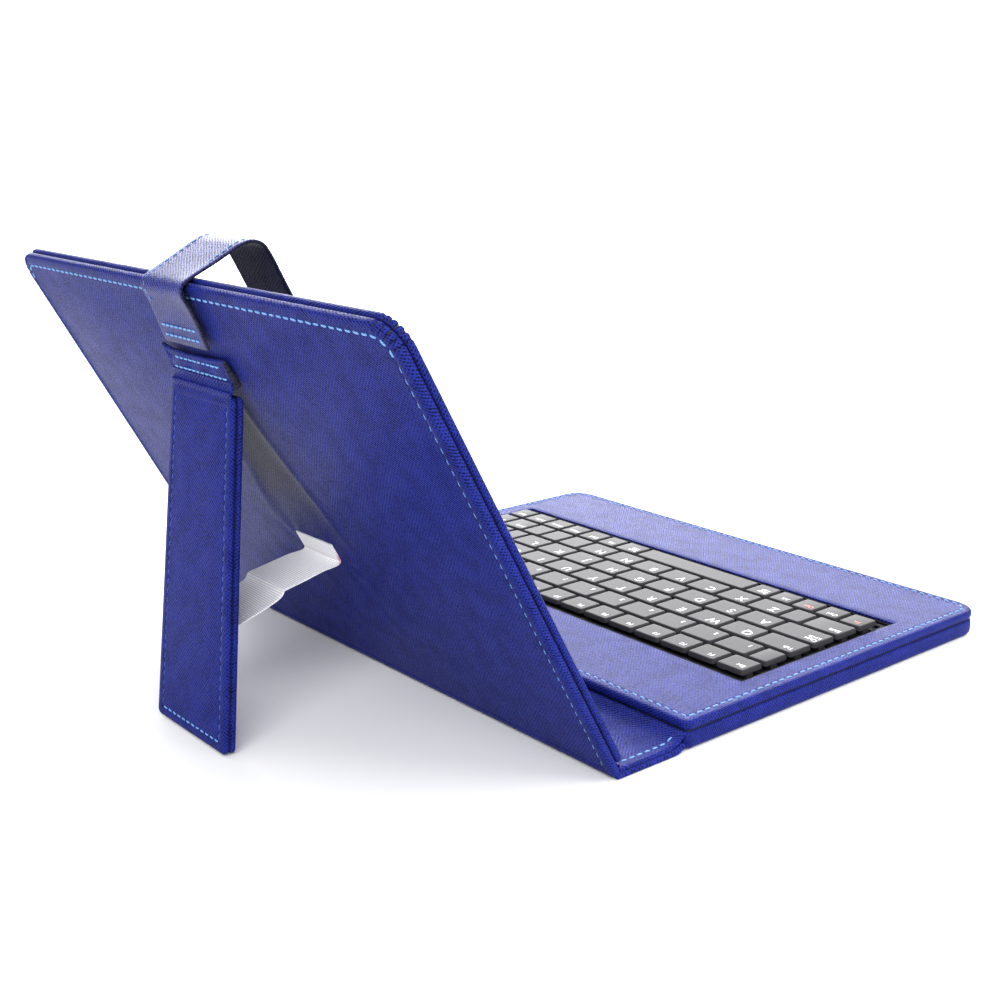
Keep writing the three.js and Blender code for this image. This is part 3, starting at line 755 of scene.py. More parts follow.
baseOutline = insetOutline(baseSize, (base["radius"], base["hingeRadius"]), base["seam"])
deckSeam = seamOn(downFromDeck, baseOutline, lambda x, y: 0.3 + 0 * x)
underSeam = seamOn(upFromTable, baseOutline, lambda x, y: 0.42 + 0 * x)
place(stitchRow("deck_stitches", [deckSeam]), "keyboard_base", "blue_leather")
underStitches = stitchRow("underside_stitches", [underSeam], radius=0.24, material=darkThread)
place(underStitches, "keyboard_base", "blue_leather")
print("keyboard base made")

keyboard = {
    "left": -117, "right": 121, "back": 46.4, "gap": 1.2, "rowGap": 1.4, "bottom": 11.3, "top": 13.3,
    "radius": 1.6, "stemBottom": 8.3, "stemWidth": 4, "printLift": 0.03,
}
letters = {"size": 6.4, "x": 5.2, "y": 5.2}
small = {"size": 3.4, "x": 4.8, "y": 4.4}

# Each row: depth, then (node, body, widths in letter keys, legends). A legend is text or None.
keyRows = [
    (13.1, [
        ("escape_key", "escape_key", [1], ["Esc"]),
        ("function_keys", "function_key_group", [1] * 14, [f"F{i}" for i in range(1, 13)] + ["Ins", "Del"]),
    ]),
    (14.4, [
        ("number_keys", "number_key_group", [0.6, *[1] * 10, 0.55, 0.55], [None, *"1234567890", None, None]),
        ("backspace_key", "backspace_key", [0.69], ["Bksp"]),
    ]),
    (14.4, [
        ("tab_key", "tab_key", [1.17], ["Tab"]),
        ("upper_letter_keys", "upper_letter_key_group", [*[1] * 10, 0.6, 0.62], [*"QWERTYUIOP", None, None]),
    ]),
    (14.4, [
        ("caps_lock_key", "caps_lock_key", [1.36], ["Caps\nLock"]),
        ("home_letter_keys", "home_letter_key_group", [*[1] * 9, 0.62, 0.55], [*"ASDFGHJKL", None, None]),
        ("enter_key", "enter_key", [0.86], ["Enter"]),
    ]),
    (14.4, [
        ("left_shift_key", "left_shift_key", [1.1], ["Shift"]),
        (
            "lower_letter_keys", "lower_letter_key_group", [0.68, *[0.98] * 7, 0.8, 0.74, 0.72],
            [None, *"ZXCVBNM", None, None, None],
        ),
        ("up_arrow_key", "up_arrow_key", [0.85], ["PgUp"]),
        ("right_shift_key", "right_shift_key", [0.67], ["Shift"]),
    ]),
    (13.1, [
        (
            "left_modifier_keys", "left_modifier_key_group", [0.69, 0.69, 0.69, 0.69, 0.72],
            ["Fn", "Ctrl", "Opt", "Alt", "Sym\n123"],
        ),
        ("space_key", "space_key", [3.7], [None]),
        (
            "right_modifier_keys", "right_modifier_key_group", [0.83, 0.67, 0.76, 0.7],
            ["Sym\n123", "Alt", "Ctrl", "Menu"],
        ),
        ("left_arrow_key", "left_arrow_key", [0.75], ["Home"]),
        ("down_arrow_key", "down_arrow_key", [0.78], ["PgDn"]),
        ("right_arrow_key", "right_arrow_key", [0.65], ["End"]),
    ]),
]
redLegends = {"Fn", "Opt"}
capProfile = np.array([(0, 2.0), (0.14, 1.4), (0.36, 0.6), (0.56, 0.2), (0.82, 0.04), (1.15, 0), (1.6, 0)])


def keyCap(x0, x1, y0, y1):
    # A cap: a flat-topped plate with round corners, whose sides slope in.
    halfX, halfY = (x1 - x0) / 2, (y1 - y0) / 2
    rings = len(capProfile) - 1
    columns = axisLines(halfX, keyboard["radius"], halfX, rings)
    rows = axisLines(halfY, keyboard["radius"], halfY, rings)
    x, y, depth, *_ = roundedGrid(columns, rows, capProfile, keyboard["radius"])
    points = np.stack([x + (x0 + x1) / 2, y + (y0 + y1) / 2, keyboard["top"] - depth], -1)
    index = np.arange(x.size).reshape(x.shape)
    rim = np.concatenate([index[0, :-1], index[:-1, -1], index[-1, :0:-1], index[:0:-1, 0]])
    return points.reshape(-1, 3), gridQuads(index), rim


def boxPoints(x0, x1, y0, y1, z0, z1):
    points = np.array([(x, y, z) for z in (z0, z1) for y in (y0, y1) for x in (x0, x1)])
    faces = np.array([(0, 2, 3, 1), (4, 5, 7, 6), (0, 1, 5, 4), (2, 6, 7, 3), (0, 4, 6, 2), (1, 3, 7, 5)])
    return points, faces


shapes = {}


def legendShape(text):
    # Flat outline text as points and faces, one unit high; each text is made once.
    if text not in shapes:
        curve = bpy.data.curves.new("legend", "FONT")
        curve.body, curve.align_x, curve.align_y = text, "CENTER", "CENTER"
        curve.resolution_u, curve.offset, curve.space_line = 3, 0.018, 0.85
        holder = bpy.data.objects.new("legend", curve)
        mesh = bpy.data.meshes.new_from_object(holder)
        points = np.empty(3 * len(mesh.vertices), np.float32)
        mesh.vertices.foreach_get("co", points)
        points = points.reshape(-1, 3)[:, :2].astype(float)
        faces = [list(polygon.vertices) for polygon in mesh.polygons]
        bpy.data.objects.remove(holder)
        bpy.data.curves.remove(curve)
        bpy.data.meshes.remove(mesh)
        shapes[text] = (points, faces)
    return shapes[text]


def keyGroup(name, body, caps, legends, middle):
    # Caps on one stem bar, with their printed legends.
    points, faces, kinds, total = [], [], [], 0

    def add(part, blocks, kind):
        nonlocal total
        points.append(part)
        for block in blocks:
            faces.append([[total + i for i in face] for face in block])
            kinds.append(np.full(len(block), kind))
        total += len(part)

    half = keyboard["stemWidth"] / 2
    stem = boxPoints(
        caps[0][0] + 1.5, caps[-1][1] - 1.5, middle - half, middle + half, keyboard["stemBottom"],
        keyboard["bottom"] + 0.2
    )
    add(stem[0], [stem[1].tolist()], 0)
    for cap in caps:
        part, quads, rim = keyCap(*cap)
        add(part, [quads.tolist(), [rim.tolist()[::-1]]], 0)
    piece = addMesh(name, np.vstack(points), faces, kinds=kinds, materials=(keyPlastic,), sharp=35)
    place(piece, body, "key_plastic", name[: -len("_caps")])
    printed, printFaces, printKinds, total = [], [], [], 0
    points, faces, kinds = printed, printFaces, printKinds
    for (x0, x1, y0, y1), text in zip(caps, legends):
        if not text:
            continue
        style = letters if len(text) == 1 and not text.isdigit() else small
        outline, shape = legendShape(text)
        size = style["size"] * (1.05 if text.isdigit() else 1.0)
        width = np.ptp(outline[:, 0]) * size
        centreX = x0 + max(style["x"], width / 2 + 1.6)
        centreY = y1 - style["y"] - (5.2 if text.isdigit() else 0.8 * text.count("\n"))
        spot = np.stack([outline[:, 0] * size + centreX, outline[:, 1] * size + centreY], 1)
        height = np.full((len(spot), 1), keyboard["top"] + keyboard["printLift"])
        add(np.hstack([spot, height]), [shape], 1 if text in redLegends else 0)
    if printed:
        legend = addMesh(
            name[: -len("_caps")] + "_print", np.vstack(printed), printFaces, kinds=printKinds,
            materials=(whiteInk, redInk), solid=False,
        )
        place(legend, body, "key_plastic")


def addKeys():
    back = keyboard["back"]
    for depth, parts in keyRows:
        total = sum(sum(part[2]) for part in parts)
        unit = (keyboard["right"] - keyboard["left"] + keyboard["gap"]) / total
        front, x = back - depth, keyboard["left"]
        for node, body, widths, legends in parts:
            edges = x + np.concatenate([[0], np.cumsum(widths)]) * unit
            caps = [(a, b - keyboard["gap"], front, back) for a, b in zip(edges[:-1], edges[1:])]
            keyGroup(node + "_caps", body, caps, legends, (back + front) / 2)
            x = edges[-1]
        back = front - keyboard["rowGap"]
    return back + keyboard["rowGap"]


keysFront = addKeys()


def roundedLoop(x0, x1, y0, y1, radius, z, segments=4):
    # One closed rectangle with round corners at a height.
    turn = np.radians(np.linspace(0, 90, segments + 1))
    centres = [
        (x1 - radius, y1 - radius, 0), (x0 + radius, y1 - radius, 90),
        (x0 + radius, y0 + radius, 180), (x1 - radius, y0 + radius, 270),
    ]
    parts = [
        np.stack([cx + radius * np.cos(turn + np.radians(a)), cy + radius * np.sin(turn + np.radians(a))], 1)
        for cx, cy, a in centres
    ]
    line = np.vstack(parts)
    return np.hstack([line, np.full((len(line), 1), z)])


def frameOfLoops(name, loops, material):
    # Loops joined in a closed cycle, as a moulded frame's section carried round it.
    count = len(loops[0])
    index = np.arange(len(loops) * count).reshape(len(loops), count)
    wrapped = np.concatenate([index, index[:, :1]], 1)
    wrapped = np.concatenate([wrapped, wrapped[:1]], 0)
    return addMesh(name, np.vstack(loops), [gridQuads(wrapped)], materials=(material,), sharp=50)


bezel = {
    "outer": (-121, 123, -50, 51.5), "inset": 1.55, "bottom": 9.6, "top": 10.4, "round": 0.2, "aperture": 1,
}


def addBezel():
    x0, x1, y0, y1 = (edge + way * bezel["inset"] for edge, way in zip(bezel["outer"], (1, -1, 1, -1)))
    a0, a1 = keyboard["left"] - bezel["aperture"], keyboard["right"] + bezel["aperture"]
    b0, b1 = keysFront - bezel["aperture"], keyboard["back"] + bezel["aperture"]
    r = bezel["round"]
    loops = [
        roundedLoop(x0, x1, y0, y1, 1.2, bezel["bottom"]),
        roundedLoop(x0, x1, y0, y1, 1.2, bezel["top"] - r),
        roundedLoop(x0 + r, x1 - r, y0 + r, y1 - r, 1.0, bezel["top"]),
        roundedLoop(a0 - r, a1 + r, b0 - r, b1 + r, 1.0, bezel["top"]),
        roundedLoop(a0, a1, b0, b1, 0.8, bezel["top"] - r),
        roundedLoop(a0, a1, b0, b1, 0.8, bezel["bottom"]),
    ]
    piece = frameOfLoops("key_bezel_moulding", loops, blackPlastic)
    place(piece, "keyboard_base", "black_plastic", "key_bezel")


addBezel()
print("keyboard made")

panel = {
    "foot": 134.5, "lean": 61, "half": 135, "length": 199.2, "radius": 11, "hingeRadius": 3, "coverHeight": 3.4,
    "frontStart": 4.2, "frontBottom": 3.8, "frontTop": 6.6, "roll": 1.4, "seam": 4.7,
}
leanCos, leanSin = np.cos(np.radians(panel["lean"])), np.sin(np.radians(panel["lean"]))
panelUp, panelIn = np.array([0, leanCos, leanSin]), np.array([0, -leanSin, leanCos])
panelFoot = np.array([0, panel["foot"], 0.0])
backFace = Frame(panelFoot, panelUp, panelIn)
frontFace = Frame(panelFoot + panelIn * panel["frontTop"], panelUp, -panelIn)
backSize = (panel["half"], 0, panel["length"])
frontSize = (panel["half"], panel["frontStart"], panel["length"])


def panelPath(pairs):
    # (height, inward) pairs on the leaning panel to (y, z).
    pairs = np.asarray(pairs, float)
    return np.stack([
        panel["foot"] + pairs[:, 0] * leanCos - pairs[:, 1] * leanSin,
        pairs[:, 0] * leanSin + pairs[:, 1] * leanCos,
    ], 1)


padding = {"height": 3, "centre": 150, "spread": 60, "halfWidth": 130, "halfLength": 94.6}


def crownAt(x, h):
    # How far the padding lifts the leather: a bell up the panel, fading to nothing at the edges.
    up = 2 * h / panel["length"] - 1
    swell = padding["height"] * np.exp(-(((h - padding["centre"]) / padding["spread"]) ** 2)) * (1 - up**8)
    fadeX = 1 - np.clip(np.abs(x) / padding["halfWidth"], 0, 1) ** 4
    fadeH = 1 - np.clip(np.abs(h - panel["length"] / 2) / padding["halfLength"], 0, 1) ** 8
    return np.maximum(0, (swell + 0.2) * fadeX * fadeH - 0.2)


creases = {"top": 153, "bottom": 92, "startX": 11, "spread": 13, "ridge": 0.42, "fall": 0.55}


def creaseRelief(x, h):
    # The leg's tab and the ribbon draw the leather: a ridge runs down from each side of the tab,
    # the leather between them sinks, and it is lifted where the ribbon pulls.
    t = np.clip((creases["top"] - h) / (creases["top"] - creases["bottom"]), 0, 1.3)
    window = smoothStep(creases["top"] + 5 - h, 0, 14) * smoothStep(
        h, creases["bottom"] - 22, creases["bottom"] + 12,
    )
    line = creases["startX"] + creases["spread"] * t
    away = np.abs(x) - line
    side = np.where(x < 0, 1.0, 0.6)
    ridge = creases["ridge"] * side * np.exp(-((away / 2.2) ** 2))
    sunk = -creases["fall"] * smoothStep(-away, -2, 11)
    pull = 1.0 * np.exp(-(((h - 70) / 9) ** 2) - (x / 15) ** 2)
    angle = np.arctan2(h - 70, np.abs(x) - 13)
    distance = np.hypot(h - 70, np.abs(x) - 13)
    rays = 0.22 * np.sin(7 * angle + 0.6) * np.exp(-distance / 22) * smoothStep(distance, 2, 9)
    slack = 0.3 * np.exp(-((x + 30 + (h - 40) * 0.5) / 6) ** 2) * np.exp(-(((h - 42) / 18) ** 2))
    return (ridge + sunk) * window + pull + rays + slack


def backRelief(x, h, inset, border):
    fade = smoothStep(inset, 4.5, 12)
    beyond = np.where(border, 0, hemDepth(inset, panel["roll"], panel["seam"], 0.36, 0.2))
    near = np.exp(-(((inset - panel["seam"] + 1.6) / 1.5) ** 2)) * (h > 8)
    gathers = 0.16 * np.sin((x + h) * 1.43) * near * (1 - border)
    return beyond + gathers - crownAt(x, h) - fade * (creaseRelief(x, h) + softUneven(x, h, 2.0) * 1.6)


def paintedShadeAt(x, h):
    # Painted shade where the leg's shadow falls on the panel: dark grey between the two creases under the tab,
    # along the near crease, and in the needle holes of the side seams.
    t = np.clip((creases["top"] - h) / (creases["top"] - creases["bottom"]), 0, 1)
    away = np.abs(x) - creases["startX"] - creases["spread"] * t
    inside = smoothStep(-away, -3, 8)
    edge = np.exp(-(((away + 0.5) / 1.4) ** 2)) * (x < 0)
    along = smoothStep(creases["top"] + 3 - h, 0, 8) * smoothStep(h, 72, 118)
    holes = stitchHoles(x, h, panel["half"], panel["seam"] - 1.3)
    return np.clip(0.85 * inside * along + 0.5 * edge * along + holes, 0, 1)


backProfile = hemProfile(panel["coverHeight"], panel["roll"], panel["radius"], stitch=panel["seam"], lift=0.2)
squareAtFoot = (-1, panel["hingeRadius"])
backCover = boardSkin(
    "back_cover_leather", backFace, backSize, panel["radius"], backProfile, step=2, near=nearLines,
    relief=backRelief, pleats=1.5, marks={"paintedShadeAndFray": paintedShadeAt}, tight=squareAtFoot,
)
place(backCover, "tablet_panel", "blue_leather", "back_cover")

frontProfile = hemProfile(panel["frontTop"] - panel["frontBottom"], 1.3, panel["radius"], stitch=panel["seam"])
frontCover = boardSkin(
    "front_cover_leather", frontFace, frontSize, panel["radius"], frontProfile, step=4, near=nearLines,
    relief=deckRelief, pleats=1.3, tight=squareAtFoot, marks={"paintedShadeAndFray": lambda x, y: 0 * x},
)
place(frontCover, "tablet_panel", "blue_leather", "front_cover")

panelRadii = (panel["hingeRadius"], panel["radius"])
backOutline = insetOutline(backSize, panelRadii, panel["seam"], ("left", "top", "right"))
backSeam = seamOn(backFace, backOutline, lambda x, y: 0.3 - crownAt(x, y))
frontSeam = seamOn(frontFace, insetOutline(frontSize, panelRadii, panel["seam"]), lambda x, y: 0.3 + 0 * x)
across, height = backOutline[:, 0], backOutline[:, 1]
overTop = height >= panel["length"] - panel["radius"] - 2
for name, chosen, radius, colour in (
    ("back_stitches", overTop, 0.4, thread),
    ("back_stitches_escape_side", ~overTop & (across < 0), 0.2, thread),
    ("back_stitches_enter_side", ~overTop & (across > 0), 0.2, darkThread),
):
    row = (backSeam[0][chosen], backSeam[1][chosen])
    place(stitchRow(name, [row], radius=radius, material=colour), "tablet_panel", "blue_leather")
place(stitchRow("front_stitches", [frontSeam]), "tablet_panel", "blue_leather")
print("tablet panel made")

spine = {
    "blendStart": 98.4, "blendEnd": 104.5, "coverBlendStart": 127.5, "coverBlendEnd": 133.2, "half": 134.8,
    "hem": 3.4, "hemHeight": 1.75, "liningHem": 0.75, "seam": 130.4,
}


def hemEnd(across, half, width):
    # 1 over the turned hem at a strip's two ends, rounded off at its outer side.
    inside = smoothStep(np.abs(across), half - width - 0.8, half - width + 0.4)
    past = np.clip((np.abs(across) - half + 1.3) / 1.3, 0, 1)
    return inside * np.sqrt(1 - past**2)


def spineStrip(name, line, half, thickness, spacing=0.8, swell=None, lift=None):
    return band(
        name, smoothPath(line, spacing), 2 * half, thickness, columns=121, edge=0.4, lift=lift,
        close=0.995, swell=swell
    )


def addSpine():
    def coverHem(across, along):
        # Its ends are turned up round the board.
        return spine["hemHeight"] * hemEnd(across, spine["half"], spine["hem"]), 0 * across + 0 * along

    def liningHem(across, along):
        # Its ends are doubled under, and drawn down by the stitches.
        doubled = spine["liningHem"] * hemEnd(across, spine["half"] - 0.2, 4.6)
        dip = 0.35 * np.exp(-(((np.abs(across) - spine["seam"]) / 0.8) ** 2))
        return doubled * 0.6 - dip + 0 * along, doubled * 0.5 + 0 * along

    across = spine["half"]
    rise = [(98.35, 7.6), (99.4, 6.9), (100.9, 5.6), (102.8, 4.3), (105.2, 3.55)]
    lining = spineStrip(
        "spine_lining_leather", [*rise, (110, 3.3), (120, 3.3), (128.4, 3.35)], across - 0.2, 0.8,
        swell=liningHem,
    )
    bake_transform(lining)
    settle(lining, "blue_leather", "spine_lining", "keyboard_fold")
    outer = spineStrip(
        "spine_cover_leather", [(98.3, 2.4), (100, 1.4), (102.2, 0.65), (105, 0.45), (128.7, 0.45)],
        across, 0.85, swell=coverHem,
    )
    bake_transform(outer)
    settle(outer, "blue_leather", "spine_cover")
    foot = spineStrip(
        "cover_fold_leather", [(128.7, 0.45), (130.5, 0.42), (132.2, 0.45), (133.6, 0.5)], across,
        0.8, 0.4, coverHem,
    )
    tuck = panelPath([(1.2, 4.1), (2.4, 3.75), (3.5, 3.6)])
    inner = spineStrip(
        "cover_fold_lining", [(128.4, 3.35), (129.8, 3.45), *tuck.tolist()], across - 0.2, 0.7, 0.4,
        liningHem,
    )
    for strip in (foot, inner):
        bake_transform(strip)
    settle(foot, "blue_leather", "cover_fold")
    settle(inner, "blue_leather")
    rows = []
    path = smoothPath([*rise[2:], (110, 3.3), (120, 3.3), (128.4, 3.35)], 0.8)
    for x in (-spine["seam"], spine["seam"]):
        points = np.hstack([np.full((len(path), 1), x), path + (0, 0.4)])
        rows.append((points, np.tile((0.0, 0.0, 1.0), (len(points), 1))))
    stitches = stitchRow("spine_stitches", rows, pitch=3.8, length=2.7)
    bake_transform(stitches)
    settle(stitches, "blue_leather")


addSpine()
print("spine made")

stand = {
    "fold": (219.4, 135.2), "lean": 95.87, "half": 25, "taper": -0.08, "low": -135.3, "high": -0.6,
    "thickness": 5, "radius": 2.5,
}
standCos, standSin = np.cos(np.radians(stand["lean"])), np.sin(np.radians(stand["lean"]))
standUp, standIn = np.array([0, standCos, standSin]), np.array([0, -standSin, standCos])
standFold = np.array([0, *stand["fold"]])
standOuter = Frame(standFold, standUp, standIn)
standInner = Frame(standFold + standIn * stand["thickness"], standUp, -standIn)
standSize = (stand["half"], stand["low"], stand["high"])
standHem = {"roll": 1.1, "stitch": 4.2, "dip": 0.28, "lift": 0.1}


def standRelief(x, y, inset, border):
    # Soft over its board: a low crown, the hem's seam and a slow ripple along the long edges.
    seam = hemDepth(inset, standHem["roll"], standHem["stitch"], standHem["dip"], standHem["lift"])
    crown = 0.25 * smoothStep(inset, 3, 14)
    pucker = 0.1 * np.sin(y * 1.9) * np.exp(-(((inset - standHem["stitch"]) / 2.2) ** 2))
    ripple = 0.5 * softUneven(x * 2, y, 4.0) * smoothStep(inset, 1, 4)
    return np.where(border, 0, seam - crown + pucker) + ripple


standProfile = hemProfile(2.3, standHem["roll"], stand["radius"], wall=1.2, stitch=standHem["stitch"])
closeLines = (0.7, 1.2, 1.6, 2.0, 2.5, 3.2, 4.5)
# The kickstand's leather takes painted shade in the needle holes along its long edges.
for side, axes in (("outer", standOuter), ("inner", standInner)):
    leatherSide = boardSkin(
        f"kickstand_{side}_leather", axes, standSize, stand["radius"], standProfile, step=2.2, near=closeLines,
        relief=standRelief, taper=stand["taper"],
        marks={"paintedShadeAndFray": lambda x, y: stitchHoles(x, y, stand["half"], 3.3, 3.8, 0.8)},
    )
    place(leatherSide, "kickstand", "blue_leather", f"kickstand_{side}")
outline = insetOutline(standSize, stand["radius"], standHem["stitch"])
bottomRow = insetOutline(standSize, stand["radius"], standHem["stitch"], ("bottom",))
sideRows = [insetOutline(standSize, stand["radius"], standHem["stitch"], (part,)) for part in ("left", "right")]
depthOf = lambda x, y: 0.22 + 0 * x
place(
    stitchRow(
        "kickstand_foot_stitches",
        [seamOn(standOuter, bottomRow, depthOf, stand["taper"], standSize)], pitch=3.6, length=2.5,
        radius=0.3,
    ),
    "kickstand", "blue_leather",
)
place(
    stitchRow(
        "kickstand_side_stitches",
        [seamOn(standOuter, row, depthOf, stand["taper"], standSize) for row in sideRows]
        + [seamOn(standInner, outline, depthOf, stand["taper"], standSize)],
        pitch=3.8, length=2.6, radius=0.28, material=darkThread,
    ),
    "kickstand", "blue_leather",
)

tab = {
    "half": 23, "bottom": 160.3, "top": 171.5, "outer": 6.9, "sewnOuter": 4.7, "inner": 3.3,
    "seams": (168.4, 164.2), "seamReach": (16.5, 19.5), "waist": 1.8, "ear": 1.2,
}


def tabOuter(height):
    # It lies flatter at its sewn top than at the fold.
    share = (tab["outer"] - tab["sewnOuter"]) * (tab["top"] - height) / (tab["top"] - tab["bottom"])
    return tab["sewnOuter"] + share


def addTab():
    # The tab the leg hangs from: a doubled, sewn end of leather. One side narrows upwards, and the
    # other ends in a small raised ear. Two seams dip into it, and its cut edges are rounded.
    columns, rows = 47, 25
    x = np.sin(np.linspace(-np.pi / 2, np.pi / 2, columns))
    h = (1 - np.cos(np.linspace(0, np.pi, rows))) / 2
    sideways, upward = np.meshgrid(x, h)
    ear = np.exp(-(((1 - sideways) / 0.12) ** 2)) * smoothStep(upward, 0.45, 1.0)
    half = tab["half"] - tab["waist"] * smoothStep(upward, 0.1, 1.0) * (sideways < 0) + tab["ear"] * ear
    tall = tab["top"] - tab["bottom"]
    height = tab["bottom"] + upward * (tall - 0.9 * (1 - sideways**2)) + tab["ear"] * ear
    fromSide = (1 - np.abs(sideways)) * half
    edge = np.minimum(fromSide, np.minimum(upward, 1 - upward) * tall)
    rounded = np.sqrt(np.clip(1 - (1 - np.clip(edge / 0.5, 0, 1)) ** 2, 0, 1))
    dips = sum(0.3 * np.exp(-(((height - seam) / 0.6) ** 2)) for seam in tab["seams"])
    thick = tabOuter(height) - tab["inner"]
    sag = 0.5 * np.abs(sideways) ** 3
    outer = tab["inner"] + thick * 0.45 + thick * 0.55 * rounded - dips * smoothStep(edge, 0.5, 2) - sag * 0.4
    outer = outer + 0.5 * ear + 0.25 * np.sin(sideways * 9 + upward * 4) * smoothStep(edge, 0.5, 3)
    inner = tab["inner"] + thick * 0.45 * (1 - rounded)
    across = sideways * half
    backPoints = backFace.points(across, height, -outer)
    innerPoints = backFace.points(across, height, -inner)
    count = sideways.size
    index = np.arange(count).reshape(sideways.shape)
    edgeMask = np.zeros(sideways.shape, bool)
    edgeMask[[0, -1], :] = True
    edgeMask[:, [0, -1]] = True
    faces = [gridQuads(index), gridQuads(np.where(edgeMask, index, index + count))]
    cut = (fromSide[:-1, :-1] + fromSide[1:, 1:]).ravel() / 2 < 0.42
    # Its cut walls and inner side take the darker leather copy: painted shade.
    kinds = [cut.astype(int), np.ones(len(faces[1]), int)]
    flat = np.tile(np.stack([across.ravel(), height.ravel()], 1), (2, 1))
    frayed = 0.8 * np.exp(-((fromSide / 1.1) ** 2))
    piece = addMesh(
        "kickstand_tab_leather", np.vstack([backPoints, innerPoints]), faces, flat, kinds,
        (blueLeather, shadedLeather), marks={"paintedShadeAndFray": np.tile(frayed.ravel(), 2)},
    )
    tidyLoose(piece)
    place(piece, "tablet_panel", "blue_leather", "kickstand_tab")
    lines = []
    for height, reach in zip(tab["seams"], tab["seamReach"]):
        across = np.linspace(-reach, reach, 30)
        points = backFace.points(across, np.full(30, height), np.full(30, -tabOuter(height) + 0.22))
        lines.append((points, np.tile(-panelIn, (30, 1))))
    place(stitchRow("tab_stitches", lines, pitch=3.3, length=2.4, radius=0.32), "tablet_panel", "blue_leather")


addTab()

foldPath = smoothPath([
    *panelPath([(163.5, -6.2), (161.2, -6.6), (159.9, -7.6)]).tolist(),
    (219.75, 135.6), (219.15, 134.0), (219.35, 131.8),
], 0.5)
standFoldPiece = band("kickstand_fold_leather", foldPath, 44, 0.9, columns=21, edge=0.6)
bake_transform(standFoldPiece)
settle(standFoldPiece, "blue_leather", "kickstand_fold")
print("kickstand made")

ribbon = {"width": 26, "thickness": 0.7}
ribbonLine = [
    (173.6, 68.1), (170.3, 61.9), (169.7, 60.6), (171.2, 59.3), (178, 58.6), (186, 56.9), (194.6, 55.2),
    (196.5, 54.6), (197.4, 53.0), (199.5, 51.6), (206, 49.0), (214, 46.2), (220.6, 43.6),
    (222.6, 41.2), (223.2, 36), (223.6, 31),
]


def addRibbon():
    path = smoothPath(ribbonLine, 0.7)

    def slack(across, along):
        # It isn't quite flat: it twists a little between its seams and cups at the crease.
        share = along / along.max()
        twist = 0.035 * across * np.sin(np.pi * np.clip((share - 0.12) / 0.8, 0, 1))
        return twist * 1.2 + 0.25 * np.cos(across / 4.2) * np.sin(np.pi * share)

    def frayed(across, along):
        # The anchor's seam and its cut end take the red of the thread there.
        seam = np.exp(-(((along - 7.6) / 0.5) ** 2)) * (0.35 + 0.25 * np.sin(across * 3.1))
        corner = smoothStep(-across, 11.6, 13) * np.exp(-(((along - 7.5) / 2.2) ** 2))
        return np.clip(seam * 0.6 + corner * 0.8, 0, 1)

    piece = band(
        "tether_ribbon_cloth", path, ribbon["width"], ribbon["thickness"], (ribbonCloth,), columns=25,
        edge=0.7, lift=slack, marks={"frayed": frayed}, close=0.97,
    )
    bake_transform(piece)
    settle(piece, "ribbon", "tether_ribbon")


addRibbon()
print("ribbon made")

strap = {
    "width": 32, "thickness": 1.4, "rowAt": 13.2, "sewnAt": (183.2, 179.0), "sewnHalf": 13, "threadSink": 0.02,
}
strapLine = [
    (175.8, -4.6), (180, -4.1), (185, -3.3), (190, -2.6), (194, -2.3), (197.2, -2.3), (199.2, -1.4),
    (200.2, 0.6), (200.4, 4.0), (200.4, 12), (200.4, 20), (200.2, 26), (198.4, 31), (195.2, 33.7),
    (191.5, 34.3), (186, 34.4), (170, 34.3), (150.2, 34.3),
]
strapSplit = 12.0  # the inward depth at which its two lengths meet, on top of the arch


